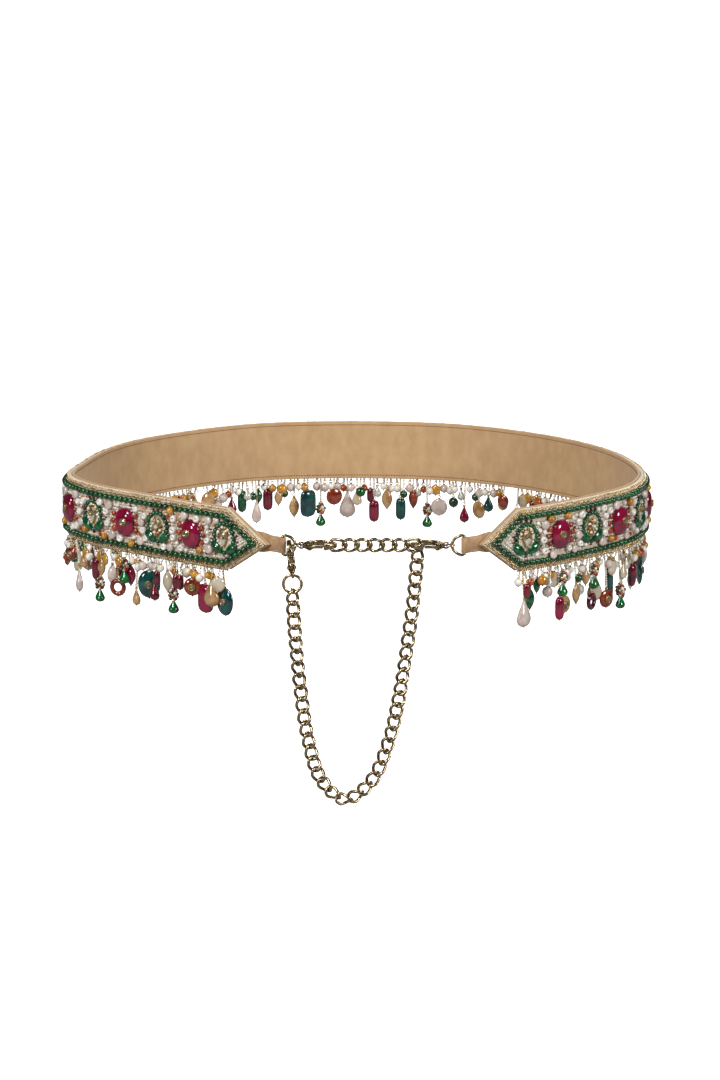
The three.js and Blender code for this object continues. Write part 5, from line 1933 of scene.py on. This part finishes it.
@dataclass
class Fastening:
    """The rings, the trigger clasps with their levers, and the two runs of curb chain."""

    wire: float = 1.5
    plated: float = 1.2
    link_length: float = 9.35
    link_width: float = 7.5
    bite: float = 0.25
    across: int = 7
    drop: float = 139.5
    forward: float = 0.9
    bow_reach: float = 6.6
    bow_half: float = 5.5

    def link(self, left: LinkEnd, right: LinkEnd) -> Form:
        """One link with its length along x.

        Args:
            left: How its left end is bent.
            right: How its right end is bent.

        Returns:
            The form.
        """
        half = (self.link_length - self.wire) / 2
        side = (self.link_width - self.wire) / 2

        def corner(end: LinkEnd, way: int, tip: bool, up: int) -> list[float]:
            """A point of the wire's line.

            Args:
                end: How the end is bent.
                way: 1 for the right end, -1 for the left.
                tip: True for its tip, False for its shoulder.
                up: 1 for the upper half, -1 for the lower.

            Returns:
                The point.
            """
            straight, turn, shoulder, lean = end.value
            reach, angle, x = (straight * side, turn, half) if tip else (side, lean, shoulder * half)
            angle = radians(angle * way)
            return [way * x, up * reach * cos(angle), up * reach * sin(angle)]

        upper = ((right, 1, True), (right, 1, False), (left, -1, False), (left, -1, True))
        points = np.array([corner(*row, 1) for row in upper] + [corner(*row, -1) for row in upper[::-1]])
        return rope(eased(points, 4, closed=True), self.wire / 2 * self.plated, 9, np.zeros(3))

    def rings(self) -> None:
        """Builds the D rings, the tail rings and the jump ring over their solids."""
        for side, way in (("left", 1.0), ("right", -1.0)):
            bar, high = ring_bar(side), self.bow_half
            turns = np.radians(np.arange(80, -81, -10))
            bow = [(self.bow_reach * cos(a), high * sin(a)) for a in turns]
            line = [(0, -high + 0.75), (0, -high / 2), (0, high / 2), (0, high - 0.75)] + bow
            points = np.array([bar + [way * x, 0, z] for x, z in line])
            heap = Heap("d_ring_bow_" + side, 81)
            heap.add(rope(points, 0.86, 10, bar + [way * 2.6, 0, 0]), OLD_GOLD)
            heap.build("belt", ["d_ring_" + side])
        for name, finish in (("tail_ring_left", PALE), ("tail_ring_right", PALE), ("jump_ring", OLD_GOLD)):
            low, high = box(name)
            flat = name == "jump_ring"
            wire = 0.7 if flat else 0.5
            made = hoop((high[0] - low[0]) / 2 - wire, wire * self.plated, 36, 10)
            heap = Heap(name + "_wire", 82)
            heap.add(made.turned(UPRIGHT) if flat else made, finish, (low + high) / 2)
            heap.build("belt", [name])

    def loop_line(self, drop: float, start: Array, stop: Array) -> Array:
        """The hanging chain's fine line for one drop.

        Args:
            drop: How far down its lowest link lies.
            start: Its right end.
            stop: Its left end.

        Returns:
            The line, from right to left.
        """
        route = [
            (0.988, 0.108), (0.963, 0.237), (0.929, 0.359), (0.888, 0.499), (0.845, 0.62), (0.771, 0.772),
            (0.625, 0.932), (0.421, 1.0), (0.229, 0.924), (0.12, 0.757), (0.062, 0.567), (0.017, 0.34),
        ]
        rows = [(stop[0] + (start[0] - stop[0]) * across, -down * drop) for across, down in route]
        return eased(np.array([start, *rows, stop], float), 60, closed=False)

    def steps(self, line: Array, pitch: float) -> tuple[list[Array], float]:
        """Equal chords along a line.

        Args:
            line: The fine line.
            pitch: The chord.

        Returns:
            The points, and how many chords the line holds.
        """
        made = [line[0]]
        for before, after in zip(line, line[1:]):
            over = np.linalg.norm(after - made[-1])
            if over >= pitch:
                under = np.linalg.norm(before - made[-1])
                made.append(before + (after - before) * (pitch - under) / (over - under))
        rest = np.linalg.norm(line[-1] - made[-1])
        return made, len(made) - 1 + rest / pitch

    def chains(self) -> None:
        """Builds the chain across and the hanging loop link by link."""
        pitch = self.link_length - 2 * self.wire + self.bite
        half = (self.link_length - self.wire) / 2
        side = (self.link_width - self.wire) / 2
        depth = ring_bar("left")[1]
        curb, square, cross = LinkEnd.CURB, LinkEnd.SQUARE, LinkEnd.CROSS
        pairs = ((curb, curb), (square, curb), (curb, square), (cross, curb), (curb, cross))
        forms = {ends: self.link(*ends) for ends in pairs}
        first = box("chain_across")[0][0] + self.wire / 2 + half
        heap = Heap("curb_chain_across", 91)
        for number in range(self.across):
            ends = (square if number == 0 else curb, square if number == self.across - 1 else curb)
            heap.add(forms[ends], OLD_GOLD, np.array([first + number * pitch, depth, 0.0]), UPRIGHT)
        heap.build("belt", ["chain_across"])
        hook = box("clasp_right")[0][0] + 21 * 0.11
        start = np.array([hook + self.wire / 2 + 0.75, -side + self.wire + 0.15 - half])
        low, high = box("jump_ring")
        stop = np.array([(low[0] + high[0]) / 2, low[2] + 1.4 + self.wire / 2 + 0.15 - half])
        wanted = round(self.steps(self.loop_line(self.drop, start, stop), pitch)[1])
        short, long = self.drop * 0.8, self.drop * 1.2
        for _ in range(30):
            middle = (short + long) / 2
            if self.steps(self.loop_line(middle, start, stop), pitch)[1] < wanted:
                short = middle
            else:
                long = middle
        points = self.steps(self.loop_line(short, start, stop), pitch)[0][:wanted] + [stop]
        heap = Heap("curb_chain_loop", 92)
        last = len(points) - 1
        for number, point in enumerate(points):
            before, after = points[max(number - 1, 0)], points[min(number + 1, last)]
            way = atan2(*(after - before)[::-1])
            if number in (0, last):
                way = -pi / 2 if number == 0 else pi / 2
            along = np.array([cos(way), 0, sin(way)])
            over = np.array([-sin(way), 0, cos(way)])
            roll = radians(26) * sin(number * 0.5) * min(1.0, number / 3, (last - number) / 3)
            deep = np.cross(along, over)
            over, deep = over * cos(roll) + deep * sin(roll), deep * cos(roll) - over * sin(roll)
            ends = (cross if number == 0 else curb, cross if number == last else curb)
            place = np.array([point[0], depth - self.forward * number / last, point[1]])
            heap.add(forms[ends], OLD_GOLD, place, np.stack([along, over, deep], -1))
        heap.build("belt", ["chain_loop"])

    def build(self) -> None:
        """Builds the whole fastening."""
        self.rings()
        self.chains()
        left, tilt = ring_bar("left"), radians(6)
        upright = np.array([-sin(tilt), 0.0, cos(tilt)])
        hooks = (
            ("left", np.array([box("clasp_left")[1][0], left[1], 0.0]), np.array([1.0, 0, 0]), True),
            ("right", np.array([box("clasp_right")[0][0], left[1], 0.0]), np.array([-1.0, 0, 0]), True),
            ("down", left + np.array([3.15, -self.forward, 3.0]), upright, False),
        )
        for side, hook, along, turned in hooks:
            TriggerClasp(side, hook, along, turned).build()


@dataclass
class Studio:
    """The pale floor, the soft lights and the camera."""

    aim: tuple[float, float, float] = (2.7, 0.0, -17.4)
    elevation: float = 13.0
    distance: float = 2400.0
    lens: float = 146.0
    floor_reach: float = 6.0

    def camera(self) -> None:
        """Sets the camera at the photograph's angle."""
        lift = radians(self.elevation)
        back = Vector((0, -cos(lift), sin(lift)))
        data = bpy.data.cameras.new("camera")
        data.lens = self.lens
        data.sensor_width = 36.0
        data.clip_start, data.clip_end = 0.05, 30.0
        made = linked("camera", data)
        made.location = Vector(self.aim) * METRE + back * (self.distance * METRE)
        made.rotation_mode = "QUATERNION"
        made.rotation_quaternion = (-back).to_track_quat("-Z", "Y")
        bpy.context.scene.camera = made

    def lamp(self, name: str, place: Sequence[float], size: float, power: float, down: bool = False) -> None:
        """A soft square lamp that faces the belt, or the floor.

        Args:
            name: The lamp's name.
            place: Its place in metres.
            size: Its side in metres.
            power: Its power in watts.
            down: True to face straight down.
        """
        data = bpy.data.lights.new(name, "AREA")
        data.size, data.energy = size, power
        data.spread = radians(110 if down else 180)
        made = linked(name, data)
        made.location = Vector(place)
        made.rotation_mode = "QUATERNION"
        made.rotation_quaternion = (Vector((0, 0, -1)) if down else -Vector(place)).to_track_quat("-Z", "Y")

    def build(self) -> None:
        """Builds the stage."""
        self.camera()
        scene = bpy.context.scene
        scene.view_settings.view_transform = "Standard"
        world = bpy.data.worlds.new("studio")
        world.use_nodes = True
        scene.world = world
        background = world.node_tree.nodes["Background"]
        sky = Wiring(world.node_tree)
        straight = sky.add("ShaderNodeLightPath").outputs["Is Camera Ray"]
        strength = sky.ramp(straight, 0.0, 1.0, 0.06, 1.0)
        sky.fill(background, {"Color": (0.96, 0.97, 1.0), "Strength": strength})
        self.lamp("key", (-0.8, -1.3, 1.3), 0.6, 24.5)
        self.lamp("fill", (1.4, -1.1, 0.6), 0.55, 19)
        self.lamp("back", (0.3, 1.3, 1.1), 0.7, 16)
        self.lamp("strip", (-1.5, -1.2, 0.35), 0.3, 7)
        self.lamp("sweep", (0.0, 4.4, 2.6), 3.6, 30, down=True)
        mesh = bpy.data.meshes.new("floor")
        rim = [(self.floor_reach * cos(a), self.floor_reach * sin(a), -0.3) for a in around(48)]
        mesh.from_pydata(rim, [], [tuple(range(len(rim)))])
        pale = bpy.data.materials.new("pale_floor")
        pale.use_nodes = True
        wiring = Wiring(pale.node_tree)
        seen = wiring.add("ShaderNodeLightPath").outputs["Is Camera Ray"]
        wiring.fill(pale.node_tree.nodes["Principled BSDF"], {
            "Base Color": wiring.blend(seen, (0.3, 0.3, 0.3), (0.9, 0.9, 0.9)),
            "Emission Color": wiring.blend(seen, (0.0, 0.0, 0.0), (1.0, 1.0, 1.0)),
            "Emission Strength": 1.0, "Roughness": 0.9,
        })
        mesh.materials.append(pale)
        linked("floor", mesh)


def main() -> None:
    """Builds the belt over its solids."""
    logging.basicConfig(level=logging.INFO, format="%(message)s")
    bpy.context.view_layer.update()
    Studio().build()
    path = BandPath()
    LOG.info("band length %.1f mm", path.length)
    SuedeLining(path).build()
    FacePanel(path).build()
    BorderRows(path).build()
    spots = Motifs(path).build()
    ScatterBeads(path, spots).build()
    build_fringe(path)
    SuedeTab(path, "left", 6.5).build()
    SuedeTab(path, "right", 7.5).build()
    Fastening().build()


if __name__ == "__main__":
    main()
